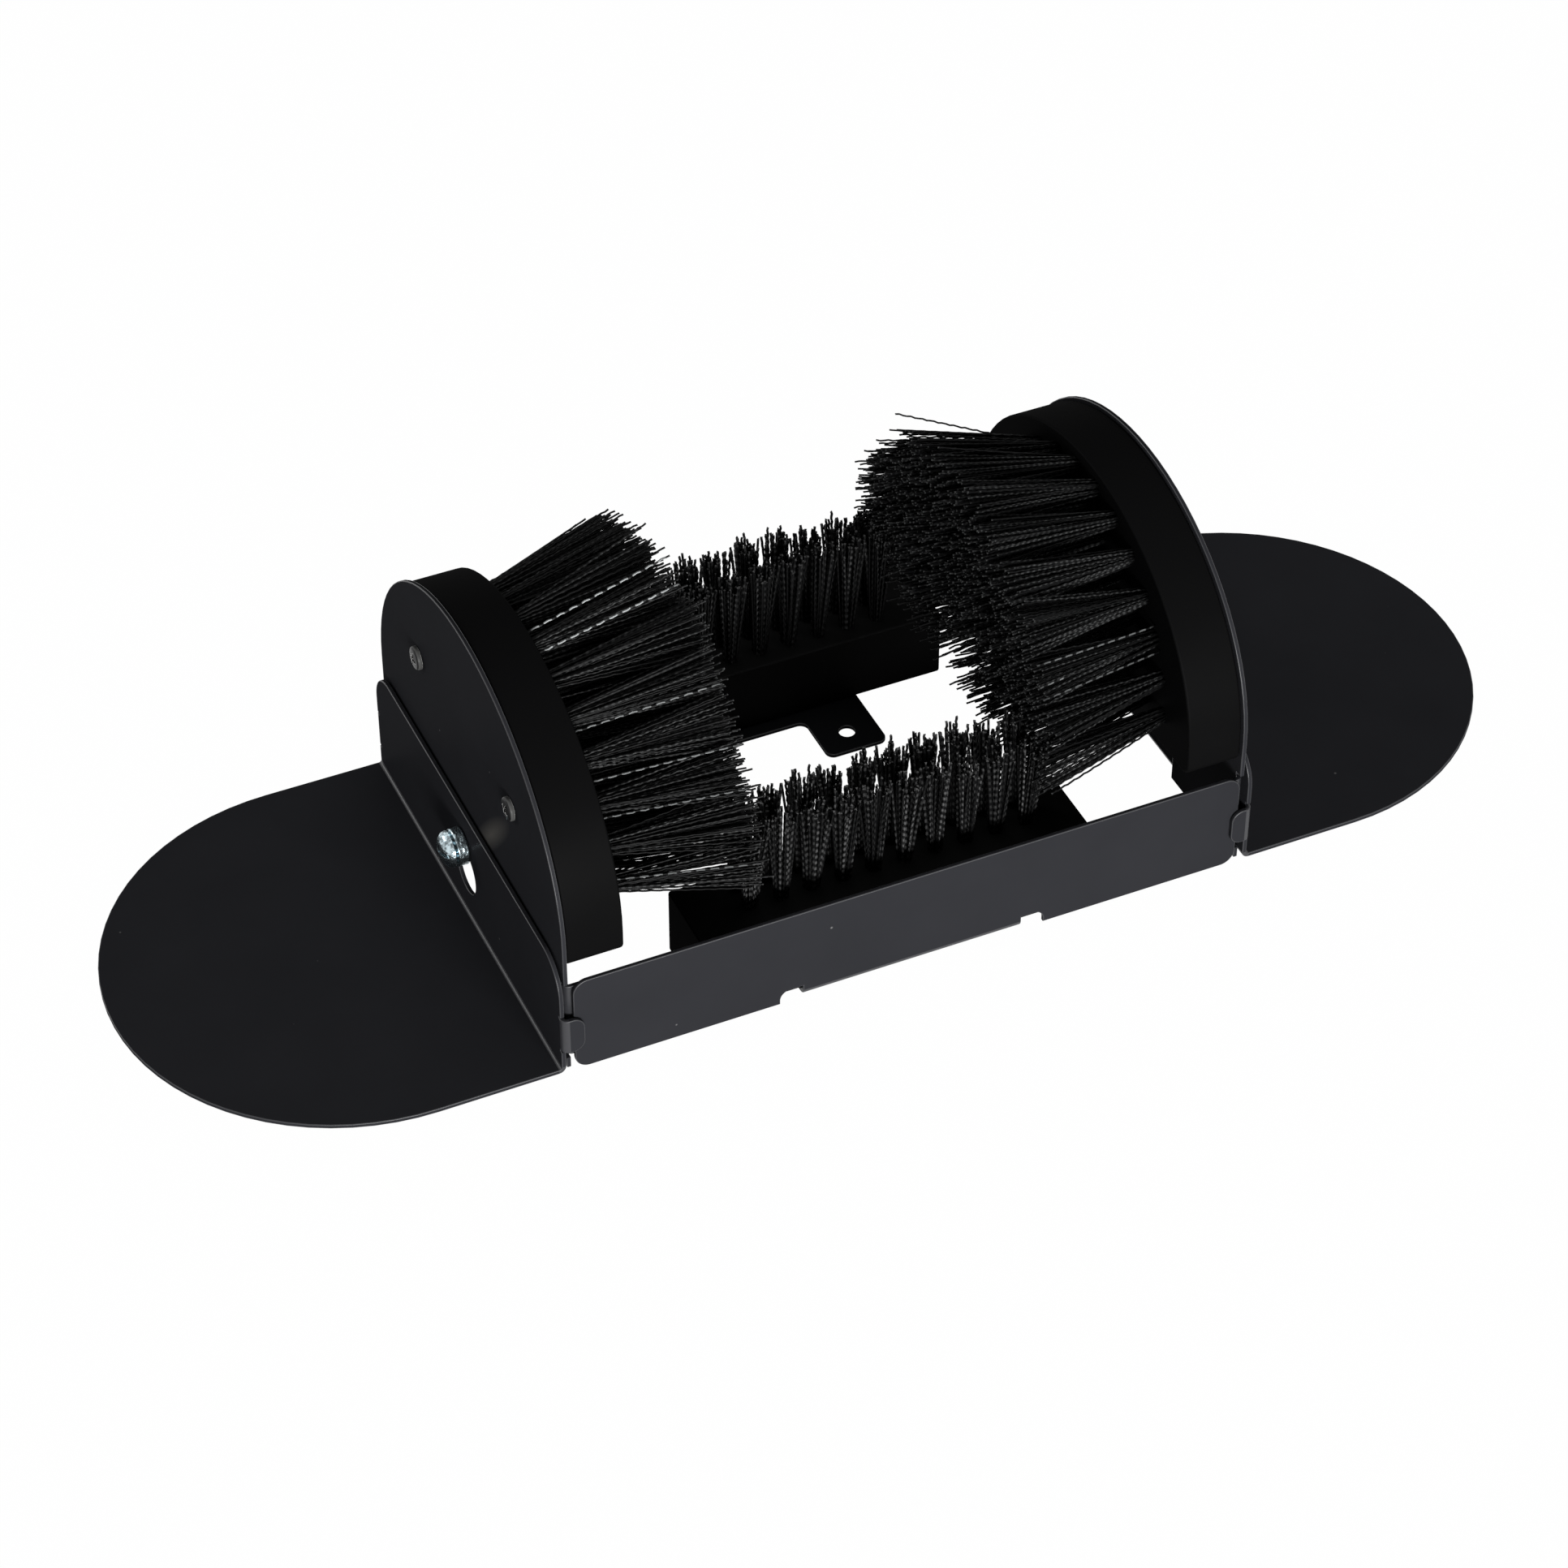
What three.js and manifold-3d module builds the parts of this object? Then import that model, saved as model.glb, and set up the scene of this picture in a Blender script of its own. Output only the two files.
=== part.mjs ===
// Boot scraper: four brushes in a bent sheet frame, with a foot plate hooked on at each end.
// Millimetres, +Z up. The origin is on the floor, in the middle of the frame.
// +X runs along the length, and a boot is drawn through along Y.

import * as THREE from 'three';
import { mergeVertices } from 'three/addons/utils/BufferGeometryUtils.js';
import Module from 'manifold-3d';

const wasm = await Module();
wasm.setup();

// Clearances
const seatGap = 0.3; // between pieces that rest on each other
const hookGap = 0.8; // between an upstand and the end plate that it hangs on
const screwClearance = 0.3; // round a screw or bolt in its hole

// Sheet
const sheet = 1.5;
const bendRadius = 1; // inner radius of every bend
const bendOverlap = 1; // how far a bend's section runs into the sheets that it joins

// Foot plates
const footDepth = 160; // along Y
const footStraight = 41; // straight part, before the round end
const upstandFaceX = 121; // outer face of an upstand, from the middle
const upstandHeight = 43.5;
const upstandCornerRadius = 13;
const earLow = 9.5; // lower edge of an ear
const earHeight = 13.5;
const earLength = 7.5; // from the upstand's outer face
const earCornerRadius = 4;
const earRoot = 3; // how far an ear's strip runs into the upstand

// Frame: rails
const frameDepth = 160; // over the rails' outer faces
const railHeight = 36.5;
const railEndGap = 0.8; // from a rail's end to the end plate
const railCornerRadius = 5;
const flangeHalfLength = 38.5;
const flangeRise = 0.6; // underside of the flange, above the floor
const flangeReach = 40.5; // from the rail's outer face
const notchWidth = 8;
const notchHeight = 5;
const notchRadius = 3.5;
const tongueWidth = 22;
const tongueReach = 60.3; // from the rail's outer face
const tongueRadius = 3;
const floorHoleRadius = 2.8;
const floorHoleFromEnd = 9.4;

// Frame: end plates
const endPlateHeight = 116;
const archRise = 67; // height of the half ellipse at the top
const cutoutHalfWidth = 35;
const cutoutHeight = 24;
const cutoutRadius = 4;
const returnLow = 5; // the flange that backs a rail's end
const returnHeight = 29;
const returnLength = 14;
const reliefSlot = 1;

// Hook bolt, washer and nut
const boltZ = 30;
const boltRadius = 3;
const boltHeadRadius = 6.2;
const boltHeadHeight = 4.2;
const boltSlotWidth = 1.4;
const boltSlotDepth = 1.2;
const boltTail = 2; // past the nut
const washerRadius = 6.3;
const washerThickness = 3.8;
const nutAcrossFlats = 10;
const nutThickness = 5;
const keyholeDrop = 11; // from the bolt down to the round part's centre
const keyholeRadius = 8.3;

// Side brushes
const blockInset = 1; // inside the end plate's outline
const blockThickness = 19;
const blockBottom = 41;
const blockCornerRadius = 3.5;
const backingSlice = 3; // front layer of a block, one piece with its bristles
const tuftArcZ = 50; // centre of the tufts' arcs
const tuftArcRadii = [59.5, 45.5, 31.5, 17.5];
const tuftArcCounts = [14, 11, 8, 4];
const tuftArcStart = THREE.MathUtils.degToRad(3.5);
const sideBristleLength = 45; // along X, from the block's face
const sideBristleFan = 0.2; // sideways run for each unit along X, at the outer arc
const blockScrewY = 39.5;
const blockScrewZ = 77;

// Strip brushes
const stripLength = 136.2;
const stripShift = 1.5; // how far a strip's middle lies past the middle of its tufts
const stripWidth = 34;
const stripTop = 27.5;
const stripTuftPitch = 10.8;
const stripTuftCount = 10;
const stripOuterRow = 17.2; // from the strip's outer face
const stripRowPitch = 9;
const stripBristleLength = 40;
const stripLean = 0.05; // how far the two rows lean apart
const stripScrewX = 27.5;

// Tufts
const strandRadius = 0.9;
const strandSides = 3;
const strandsPerTuft = 4;
const strandRootDepth = 1; // how deep a strand starts in its backing
const tuftRootRadius = 1.7;
const sideTuftSpread = 4;
const stripTuftSpread = 2;
const lengthVariation = 3;

// Screws
const screwRadius = 1.9;
const screwDepth = 13; // in a block
const panHeadRadius = 4;
const panHeadHeight = 2;
const crossWidth = 1;
const crossReach = 2.1;
const crossDepth = 1.1;
const flatHeadRadius = 3.6;
const flatHeadInset = 0.1;

// Sizes that follow from the ones above
const bendOuter = bendRadius + sheet;
const bendLeg = bendOuter + bendOverlap;
const throughCut = 3 * sheet; // depth of a cut that starts one sheet outside a sheet
const footHalfDepth = footDepth / 2;
const railOuterY = frameDepth / 2;
const railInnerY = railOuterY - sheet;
const upstandInnerX = upstandFaceX - sheet;
const endPlateOuterX = upstandInnerX - hookGap;
const endPlateInnerX = endPlateOuterX - sheet;
const endPlateHalfWidth = railInnerY - seatGap;
const archSpringZ = endPlateHeight - archRise;
const railHalfLength = endPlateInnerX - railEndGap;
const blockBackX = endPlateInnerX - seatGap;
const blockFaceX = blockBackX - blockThickness;
const keyholeZ = boltZ - keyholeDrop;
const stripBottom = flangeRise + sheet + seatGap;
const stripOuterY = railInnerY - seatGap;
const holeRadius = screwRadius + screwClearance;

const AXIS_X = new THREE.Vector3(1, 0, 0);
const AXIS_Y = new THREE.Vector3(0, 1, 0);
const AXIS_Z = new THREE.Vector3(0, 0, 1);
const BACK_X = new THREE.Vector3(-1, 0, 0);
const BACK_Y = new THREE.Vector3(0, -1, 0);

const blackSheet = new THREE.MeshStandardMaterial({ color: 0x1c1d20, roughness: 0.5, metalness: 0.3 });
const blackBlock = new THREE.MeshStandardMaterial({ color: 0x0d0d0e, roughness: 0.8, metalness: 0 });
const blackBristle = new THREE.MeshStandardMaterial({ color: 0x141415, roughness: 0.55, metalness: 0 });
const zinc = new THREE.MeshStandardMaterial({ color: 0xaab4b8, roughness: 0.3, metalness: 0.9 });
const darkScrew = new THREE.MeshStandardMaterial({ color: 0x2a2b2d, roughness: 0.4, metalness: 0.8 });

// Turns a closed three.js geometry into a solid that can be joined and cut.
function toSolid(geometry) {
  const bare = geometry.clone();
  bare.deleteAttribute('normal');
  bare.deleteAttribute('uv');
  const merged = mergeVertices(bare, 1e-4);
  return new wasm.Manifold(new wasm.Mesh({
    numProp: 3,
    vertProperties: new Float32Array(merged.attributes.position.array),
    triVerts: new Uint32Array(merged.index.array),
  }));
}

function toGeometry(solid) {
  const mesh = solid.getMesh();
  const geometry = new THREE.BufferGeometry();
  geometry.setAttribute('position', new THREE.BufferAttribute(mesh.vertProperties, 3));
  geometry.setIndex(new THREE.BufferAttribute(mesh.triVerts, 1));
  geometry.computeVertexNormals();
  return geometry;
}

// Extrudes an outline whose own x and y lie along u and v, from origin along u cross v.
function extrude(outline, depth, origin, u, v, curveSegments = 4) {
  const geometry = new THREE.ExtrudeGeometry(outline, { depth, bevelEnabled: false, curveSegments });
  const normal = new THREE.Vector3().crossVectors(u, v);
  const placement = new THREE.Matrix4().makeBasis(u, v, normal).setPosition(origin);
  return toSolid(geometry.applyMatrix4(placement));
}

function box(low, high) {
  const size = new THREE.Vector3().subVectors(high, low);
  const geometry = new THREE.BoxGeometry(size.x, size.y, size.z);
  return toSolid(geometry.translate(low.x + size.x / 2, low.y + size.y / 2, low.z + size.z / 2));
}

// A cut through an upright sheet, for all of it that lies past fromY on one side.
function sideCut(side, fromY, startX, lowZ, highZ) {
  const nearY = Math.min(side * fromY, side * frameDepth);
  const farY = Math.max(side * fromY, side * frameDepth);
  return box(new THREE.Vector3(startX, nearY, lowZ), new THREE.Vector3(startX + throughCut, farY, highZ));
}

// A turned piece: profile points are (radius, distance along its direction).
function turned(points, origin, direction, segments = 20) {
  const profile = points.map(([radius, along]) => new THREE.Vector2(radius, along));
  const geometry = new THREE.LatheGeometry(profile, segments);
  const turn = new THREE.Quaternion().setFromUnitVectors(AXIS_Y, direction);
  return toSolid(geometry.applyQuaternion(turn).translate(origin.x, origin.y, origin.z));
}

function rod(radius, length, origin, direction, segments = 20) {
  return turned([[0, 0], [radius, 0], [radius, length], [0, length]], origin, direction, segments);
}

// The section of a sheet bent square: one leg along u, one along v, the outer corner at the origin.
function angleOutline(legU, legV) {
  const outline = new THREE.Shape();
  outline.moveTo(legU, 0);
  outline.lineTo(legU, sheet);
  outline.lineTo(bendOuter, sheet);
  outline.absarc(bendOuter, bendOuter, bendRadius, -Math.PI / 2, -Math.PI, true);
  outline.lineTo(sheet, legV);
  outline.lineTo(0, legV);
  outline.lineTo(0, bendOuter);
  outline.absarc(bendOuter, bendOuter, bendOuter, Math.PI, 1.5 * Math.PI, false);
  return outline;
}

// A rectangle with its own radius at each corner, counter-clockwise from the low corner.
function roundedOutline(lowU, lowV, highU, highV, radii) {
  const [a, b, c, d] = radii;
  const outline = new THREE.Shape();
  outline.moveTo(lowU + a, lowV);
  outline.lineTo(highU - b, lowV);
  if (b > 0) outline.absarc(highU - b, lowV + b, b, -Math.PI / 2, 0, false);
  outline.lineTo(highU, highV - c);
  if (c > 0) outline.absarc(highU - c, highV - c, c, 0, Math.PI / 2, false);
  outline.lineTo(lowU + d, highV);
  if (d > 0) outline.absarc(lowU + d, highV - d, d, Math.PI / 2, Math.PI, false);
  outline.lineTo(lowU, lowV + a);
  if (a > 0) outline.absarc(lowU + a, lowV + a, a, Math.PI, 1.5 * Math.PI, false);
  return outline;
}

// Outline of an arch: upright sides with a half ellipse on top, in Y and Z.
function archOutline(halfWidth, low, springZ, rise, cornerRadius) {
  const outline = new THREE.Shape();
  outline.moveTo(-halfWidth + cornerRadius, low);
  outline.lineTo(halfWidth - cornerRadius, low);
  if (cornerRadius > 0) {
    outline.absarc(halfWidth - cornerRadius, low + cornerRadius, cornerRadius, -Math.PI / 2, 0, false);
  }
  outline.lineTo(halfWidth, springZ);
  outline.absellipse(0, springZ, halfWidth, rise, 0, Math.PI, false, 0);
  outline.lineTo(-halfWidth, low + cornerRadius);
  if (cornerRadius > 0) {
    outline.absarc(-halfWidth + cornerRadius, low + cornerRadius, cornerRadius, Math.PI, 1.5 * Math.PI, false);
  }
  return outline;
}

// The keyhole that a foot plate hangs by: a round hole with a neck up to the bolt.
function keyholeOutline() {
  const neck = boltRadius + screwClearance;
  const meet = Math.asin(neck / keyholeRadius);
  const outline = new THREE.Shape();
  outline.absarc(0, keyholeZ, keyholeRadius, Math.PI / 2 + meet, 2.5 * Math.PI - meet, false);
  outline.absarc(0, boltZ, neck, 0, Math.PI, false);
  return outline;
}

function earSolid(side) {
  const outerY = side * (railOuterY + seatGap + sheet);
  const innerY = side * (railOuterY + seatGap);
  const inward = side > 0 ? BACK_Y : AXIS_Y;
  const startZ = side > 0 ? earLow + earHeight : earLow;
  const bendOrigin = new THREE.Vector3(-upstandFaceX, outerY, startZ);
  const rootLength = Math.max(bendLeg, railOuterY + seatGap + sheet - footHalfDepth + earRoot);
  const bend = extrude(angleOutline(bendLeg, rootLength), earHeight, bendOrigin, AXIS_X, inward);
  const tab = roundedOutline(
    -upstandFaceX + bendOuter, earLow, -upstandFaceX + earLength, earLow + earHeight,
    [0, earCornerRadius, earCornerRadius, 0],
  );
  const tabOrigin = new THREE.Vector3(0, side > 0 ? outerY : innerY, 0);
  return bend.add(extrude(tab, sheet, tabOrigin, AXIS_X, AXIS_Z));
}

function footPlateGeometry() {
  const bendStart = -upstandFaceX - bendRadius;
  const roundCentre = -upstandFaceX - footStraight;
  const flat = new THREE.Shape();
  flat.moveTo(bendStart, -footHalfDepth);
  flat.lineTo(bendStart, footHalfDepth);
  flat.lineTo(roundCentre, footHalfDepth);
  flat.absarc(roundCentre, 0, footHalfDepth, Math.PI / 2, 1.5 * Math.PI, false);
  const floorPlate = extrude(flat, sheet, new THREE.Vector3(), AXIS_X, AXIS_Y, 22);

  const corner = new THREE.Vector3(-upstandInnerX, -footHalfDepth, 0);
  const bend = extrude(angleOutline(bendLeg, bendLeg), footDepth, corner, BACK_X, AXIS_Z);

  const upstandOutline = roundedOutline(
    -footHalfDepth, bendOuter, footHalfDepth, upstandHeight,
    [0, 0, upstandCornerRadius, upstandCornerRadius],
  );
  const upstandOrigin = new THREE.Vector3(-upstandFaceX, 0, 0);
  const upstand = extrude(upstandOutline, sheet, upstandOrigin, AXIS_Y, AXIS_Z);
  const keyholeOrigin = new THREE.Vector3(-upstandFaceX - sheet, 0, 0);
  const keyhole = extrude(keyholeOutline(), throughCut, keyholeOrigin, AXIS_Y, AXIS_Z, 8);

  let plate = floorPlate.add(bend).add(upstand).subtract(keyhole);
  for (const side of [-1, 1]) {
    const bendStart = railOuterY + seatGap + sheet - bendOuter;
    const earCut = sideCut(side, bendStart, -upstandFaceX - sheet, earLow, earLow + earHeight);
    plate = plate.subtract(earCut).add(earSolid(side));
  }
  return toGeometry(plate);
}

function endPlateGeometry() {
  const outline = archOutline(endPlateHalfWidth, 0, archSpringZ, archRise, 0);
  const plateOrigin = new THREE.Vector3(-endPlateOuterX, 0, 0);
  let plate = extrude(outline, sheet, plateOrigin, AXIS_Y, AXIS_Z, 20);
  const cutOrigin = new THREE.Vector3(-endPlateOuterX - sheet, 0, 0);
  const cutout = roundedOutline(
    -cutoutHalfWidth, -sheet, cutoutHalfWidth, cutoutHeight,
    [0, 0, cutoutRadius, cutoutRadius],
  );
  plate = plate.subtract(extrude(cutout, throughCut, cutOrigin, AXIS_Y, AXIS_Z));
  for (const side of [-1, 1]) {
    const bendStart = endPlateHalfWidth - bendOuter;
    const relief = sideCut(
      side, bendStart, cutOrigin.x, returnLow - reliefSlot, returnLow + returnHeight + reliefSlot,
    );
    const inward = side > 0 ? BACK_Y : AXIS_Y;
    const startZ = side > 0 ? returnLow + returnHeight : returnLow;
    const corner = new THREE.Vector3(-endPlateOuterX, side * endPlateHalfWidth, startZ);
    const flange = extrude(angleOutline(returnLength, bendLeg), returnHeight, corner, AXIS_X, inward);
    const screwHole = rod(
      holeRadius, throughCut, new THREE.Vector3(cutOrigin.x, side * blockScrewY, blockScrewZ), AXIS_X,
    );
    plate = plate.subtract(relief).add(flange).subtract(screwHole);
  }
  const boltHole = rod(
    boltRadius + screwClearance, throughCut, new THREE.Vector3(cutOrigin.x, 0, boltZ), AXIS_X,
  );
  return toGeometry(plate.subtract(boltHole));
}

function railGeometry() {
  const notchEnd = flangeHalfLength + notchWidth;
  const outline = new THREE.Shape();
  const r = railCornerRadius;
  outline.moveTo(notchEnd, 0);
  outline.lineTo(railHalfLength - r, 0);
  outline.absarc(railHalfLength - r, r, r, -Math.PI / 2, 0, false);
  outline.lineTo(railHalfLength, railHeight - r);
  outline.absarc(railHalfLength - r, railHeight - r, r, 0, Math.PI / 2, false);
  outline.lineTo(-railHalfLength + r, railHeight);
  outline.absarc(-railHalfLength + r, railHeight - r, r, Math.PI / 2, Math.PI, false);
  outline.lineTo(-railHalfLength, r);
  outline.absarc(-railHalfLength + r, r, r, Math.PI, 1.5 * Math.PI, false);
  outline.lineTo(-notchEnd, 0);
  outline.absarc(-notchEnd + notchRadius, notchHeight - notchRadius, notchRadius, Math.PI, Math.PI / 2, true);
  outline.lineTo(notchEnd - notchRadius, notchHeight);
  outline.absarc(notchEnd - notchRadius, notchHeight - notchRadius, notchRadius, Math.PI / 2, 0, true);
  const web = extrude(outline, sheet, new THREE.Vector3(0, -railInnerY, 0), AXIS_X, AXIS_Z);

  const corner = new THREE.Vector3(-flangeHalfLength, -railOuterY, flangeRise);
  const bend = extrude(
    angleOutline(bendLeg, notchHeight + bendOuter), 2 * flangeHalfLength, corner, AXIS_Y, AXIS_Z,
  );
  const flange = extrude(flangeOutline(), sheet, new THREE.Vector3(0, 0, flangeRise), AXIS_X, AXIS_Y);
  let rail = web.add(bend).add(flange);
  for (const side of [-1, 1]) {
    const holeY = -railOuterY + tongueReach - floorHoleFromEnd;
    const holeX = side * (flangeHalfLength - tongueWidth / 2);
    const floorHole = rod(floorHoleRadius, throughCut, new THREE.Vector3(holeX, holeY, flangeRise - sheet), AXIS_Z);
    rail = rail.subtract(floorHole).subtract(flatHeadRoom(side * stripScrewX));
  }
  return toGeometry(rail);
}

// The flange under a strip brush, with its two tongues, in X and Y.
function flangeOutline() {
  const outerY = -railOuterY + bendOuter;
  const edgeY = -railOuterY + flangeReach;
  const endY = -railOuterY + tongueReach;
  const outerX = flangeHalfLength;
  const innerX = flangeHalfLength - tongueWidth;
  const r = tongueRadius;
  const outline = new THREE.Shape();
  outline.moveTo(-outerX, outerY);
  outline.lineTo(outerX, outerY);
  outline.lineTo(outerX, endY - r);
  outline.absarc(outerX - r, endY - r, r, 0, Math.PI / 2, false);
  outline.lineTo(innerX + r, endY);
  outline.absarc(innerX + r, endY - r, r, Math.PI / 2, Math.PI, false);
  outline.lineTo(innerX, edgeY + r);
  outline.absarc(innerX - r, edgeY + r, r, 0, -Math.PI / 2, true);
  outline.lineTo(-innerX + r, edgeY);
  outline.absarc(-innerX + r, edgeY + r, r, -Math.PI / 2, -Math.PI, true);
  outline.lineTo(-innerX, endY - r);
  outline.absarc(-innerX - r, endY - r, r, 0, Math.PI / 2, false);
  outline.lineTo(-outerX + r, endY);
  outline.absarc(-outerX + r, endY - r, r, Math.PI / 2, Math.PI, false);
  return outline;
}

function stripScrewY() {
  return -stripOuterY + stripWidth / 2;
}

// Profile of a countersunk screw, widened by a clearance, from its head up.
function flatHeadProfile(clearance, length) {
  const head = flatHeadRadius + clearance;
  const shank = screwRadius + clearance;
  const cone = flatHeadRadius - screwRadius;
  return [[0, 0], [head, 0], [shank, cone], [shank, length], [0, length]];
}

function flatHeadRoom(x) {
  const seat = new THREE.Vector3(x, stripScrewY(), flangeRise + flatHeadInset);
  const length = stripBottom + screwDepth + screwClearance - seat.z;
  const cone = turned(flatHeadProfile(screwClearance, length), seat, AXIS_Z);
  const mouth = rod(flatHeadRadius + screwClearance, sheet, seat.clone().setZ(seat.z - sheet), AXIS_Z);
  return cone.add(mouth);
}

function flatHeadScrewGeometry(x) {
  const seat = new THREE.Vector3(x, stripScrewY(), flangeRise + flatHeadInset);
  const length = stripBottom + screwDepth - seat.z;
  return toGeometry(turned(flatHeadProfile(0, length), seat, AXIS_Z));
}

function sideBlockOutline() {
  return archOutline(
    endPlateHalfWidth - blockInset, blockBottom, archSpringZ, archRise - blockInset, blockCornerRadius,
  );
}

function sideBlockGeometry() {
  const depth = blockThickness - backingSlice - seatGap;
  let block = extrude(sideBlockOutline(), depth, new THREE.Vector3(-blockBackX, 0, 0), AXIS_Y, AXIS_Z, 16);
  for (const side of [-1, 1]) {
    const mouth = new THREE.Vector3(-blockBackX - 1, side * blockScrewY, blockScrewZ);
    block = block.subtract(rod(holeRadius, screwDepth + screwClearance + 1, mouth, AXIS_X));
  }
  return toGeometry(block);
}

// A stretch of a strip's bar, from low to high.
function stripBar(low, high) {
  return box(
    new THREE.Vector3(-stripShift - stripLength / 2, -stripOuterY, low),
    new THREE.Vector3(-stripShift + stripLength / 2, -stripOuterY + stripWidth, high),
  );
}

function stripBlockGeometry() {
  const block = stripBar(stripBottom, stripTop - backingSlice - seatGap);
  const room = flatHeadRoom(-stripScrewX).add(flatHeadRoom(stripScrewX));
  return toGeometry(block.subtract(room));
}

// A steady value between -1 and 1 for a count, so that no two strands are quite alike.
function unevenness(count) {
  return Math.sin(count * 2.399963 + 0.7);
}

// Adds one straight strand to the lists, as a prism from root to tip.
function addStrand(positions, indices, root, tip) {
  const along = new THREE.Vector3().subVectors(tip, root).normalize();
  const across = new THREE.Vector3().crossVectors(along, Math.abs(along.z) > 0.7 ? AXIS_X : AXIS_Z).normalize();
  const up = new THREE.Vector3().crossVectors(along, across);
  const first = positions.length / 3;
  for (const end of [root, tip]) {
    for (let k = 0; k < strandSides; k += 1) {
      const angle = (2 * Math.PI * k) / strandSides;
      const point = end.clone();
      point.addScaledVector(across, strandRadius * Math.cos(angle));
      point.addScaledVector(up, strandRadius * Math.sin(angle));
      positions.push(point.x, point.y, point.z);
    }
  }
  for (let k = 0; k < strandSides; k += 1) {
    const next = (k + 1) % strandSides;
    const a = first + k;
    const b = first + next;
    indices.push(a, b, b + strandSides, a, b + strandSides, a + strandSides);
  }
  for (let k = 1; k < strandSides - 1; k += 1) {
    indices.push(first, first + k + 1, first + k);
    indices.push(first + strandSides, first + strandSides + k, first + strandSides + k + 1);
  }
}

// Strands of all tufts as one solid. A tuft has its root, its tip and two directions across it.
function strandSolid(tufts, spread) {
  const positions = [];
  const indices = [];
  tufts.forEach((tuft, count) => {
    const along = new THREE.Vector3().subVectors(tuft.tip, tuft.root).normalize();
    for (let k = 0; k < strandsPerTuft; k += 1) {
      const angle = (2 * Math.PI * (k + 0.5)) / strandsPerTuft + 0.3 * unevenness(count);
      const offset = new THREE.Vector3();
      offset.addScaledVector(tuft.u, Math.cos(angle));
      offset.addScaledVector(tuft.v, Math.sin(angle));
      const root = tuft.root.clone().addScaledVector(offset, tuftRootRadius);
      const tip = tuft.tip.clone().addScaledVector(offset, spread);
      const shorter = lengthVariation * (0.5 - 0.5 * unevenness(count * strandsPerTuft + k));
      root.addScaledVector(along, -strandRootDepth);
      tip.addScaledVector(along, -shorter);
      addStrand(positions, indices, root, tip);
    }
  });
  const geometry = new THREE.BufferGeometry();
  geometry.setAttribute('position', new THREE.Float32BufferAttribute(positions, 3));
  geometry.setIndex(indices);
  return toSolid(geometry);
}

function sideBristleGeometry() {
  const tufts = [];
  tuftArcRadii.forEach((radius, row) => {
    const last = tuftArcCounts[row] - 1;
    for (let k = 0; k <= last; k += 1) {
      const angle = tuftArcStart + ((Math.PI - 2 * tuftArcStart) * k) / last;
      const fan = (sideBristleFan * radius) / tuftArcRadii[0];
      const tipRadius = radius + fan * sideBristleLength;
      const outward = new THREE.Vector3(0, Math.cos(angle), Math.sin(angle));
      const root = new THREE.Vector3(-blockFaceX, 0, tuftArcZ).addScaledVector(outward, radius);
      const tip = new THREE.Vector3(-blockFaceX + sideBristleLength, 0, tuftArcZ);
      tufts.push({ root, tip: tip.addScaledVector(outward, tipRadius), u: AXIS_Y, v: AXIS_Z });
    }
  });
  const sliceOrigin = new THREE.Vector3(-blockFaceX - backingSlice, 0, 0);
  const slice = extrude(sideBlockOutline(), backingSlice, sliceOrigin, AXIS_Y, AXIS_Z, 16);
  return toGeometry(slice.add(strandSolid(tufts, sideTuftSpread)));
}

function stripBristleGeometry() {
  const tufts = [];
  const firstX = (-stripTuftPitch * (stripTuftCount - 1)) / 2;
  for (const row of [0, 1]) {
    const rootY = -stripOuterY + stripOuterRow + row * stripRowPitch;
    const tipY = rootY + (2 * row - 1) * stripLean * stripBristleLength;
    for (let k = 0; k < stripTuftCount; k += 1) {
      const x = firstX + k * stripTuftPitch;
      const root = new THREE.Vector3(x, rootY, stripTop);
      const tip = new THREE.Vector3(x, tipY, stripTop + stripBristleLength);
      tufts.push({ root, tip, u: AXIS_X, v: AXIS_Y });
    }
  }
  const slice = stripBar(stripTop - backingSlice, stripTop);
  return toGeometry(slice.add(strandSolid(tufts, stripTuftSpread)));
}

// Pan-head screw with a cross recess, driven in through the end plate.
function panScrewGeometry(y) {
  const seatX = -endPlateOuterX - seatGap;
  const h = panHeadHeight;
  const profile = [
    [0, -h], [0.55 * panHeadRadius, -h], [0.88 * panHeadRadius, -0.7 * h], [panHeadRadius, -0.3 * h],
    [panHeadRadius, 0], [screwRadius, 0],
    [screwRadius, blockBackX * -1 + screwDepth - seatX], [0, blockBackX * -1 + screwDepth - seatX],
  ];
  const seat = new THREE.Vector3(seatX, y, blockScrewZ);
  let screw = turned(profile, seat, AXIS_X);
  const low = seatX - h - 1;
  const high = seatX - h + crossDepth;
  const wide = box(
    new THREE.Vector3(low, y - crossReach, blockScrewZ - crossWidth / 2),
    new THREE.Vector3(high, y + crossReach, blockScrewZ + crossWidth / 2),
  );
  const tall = box(
    new THREE.Vector3(low, y - crossWidth / 2, blockScrewZ - crossReach),
    new THREE.Vector3(high, y + crossWidth / 2, blockScrewZ + crossReach),
  );
  screw = screw.subtract(wide.add(tall));
  return toGeometry(screw);
}

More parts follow.
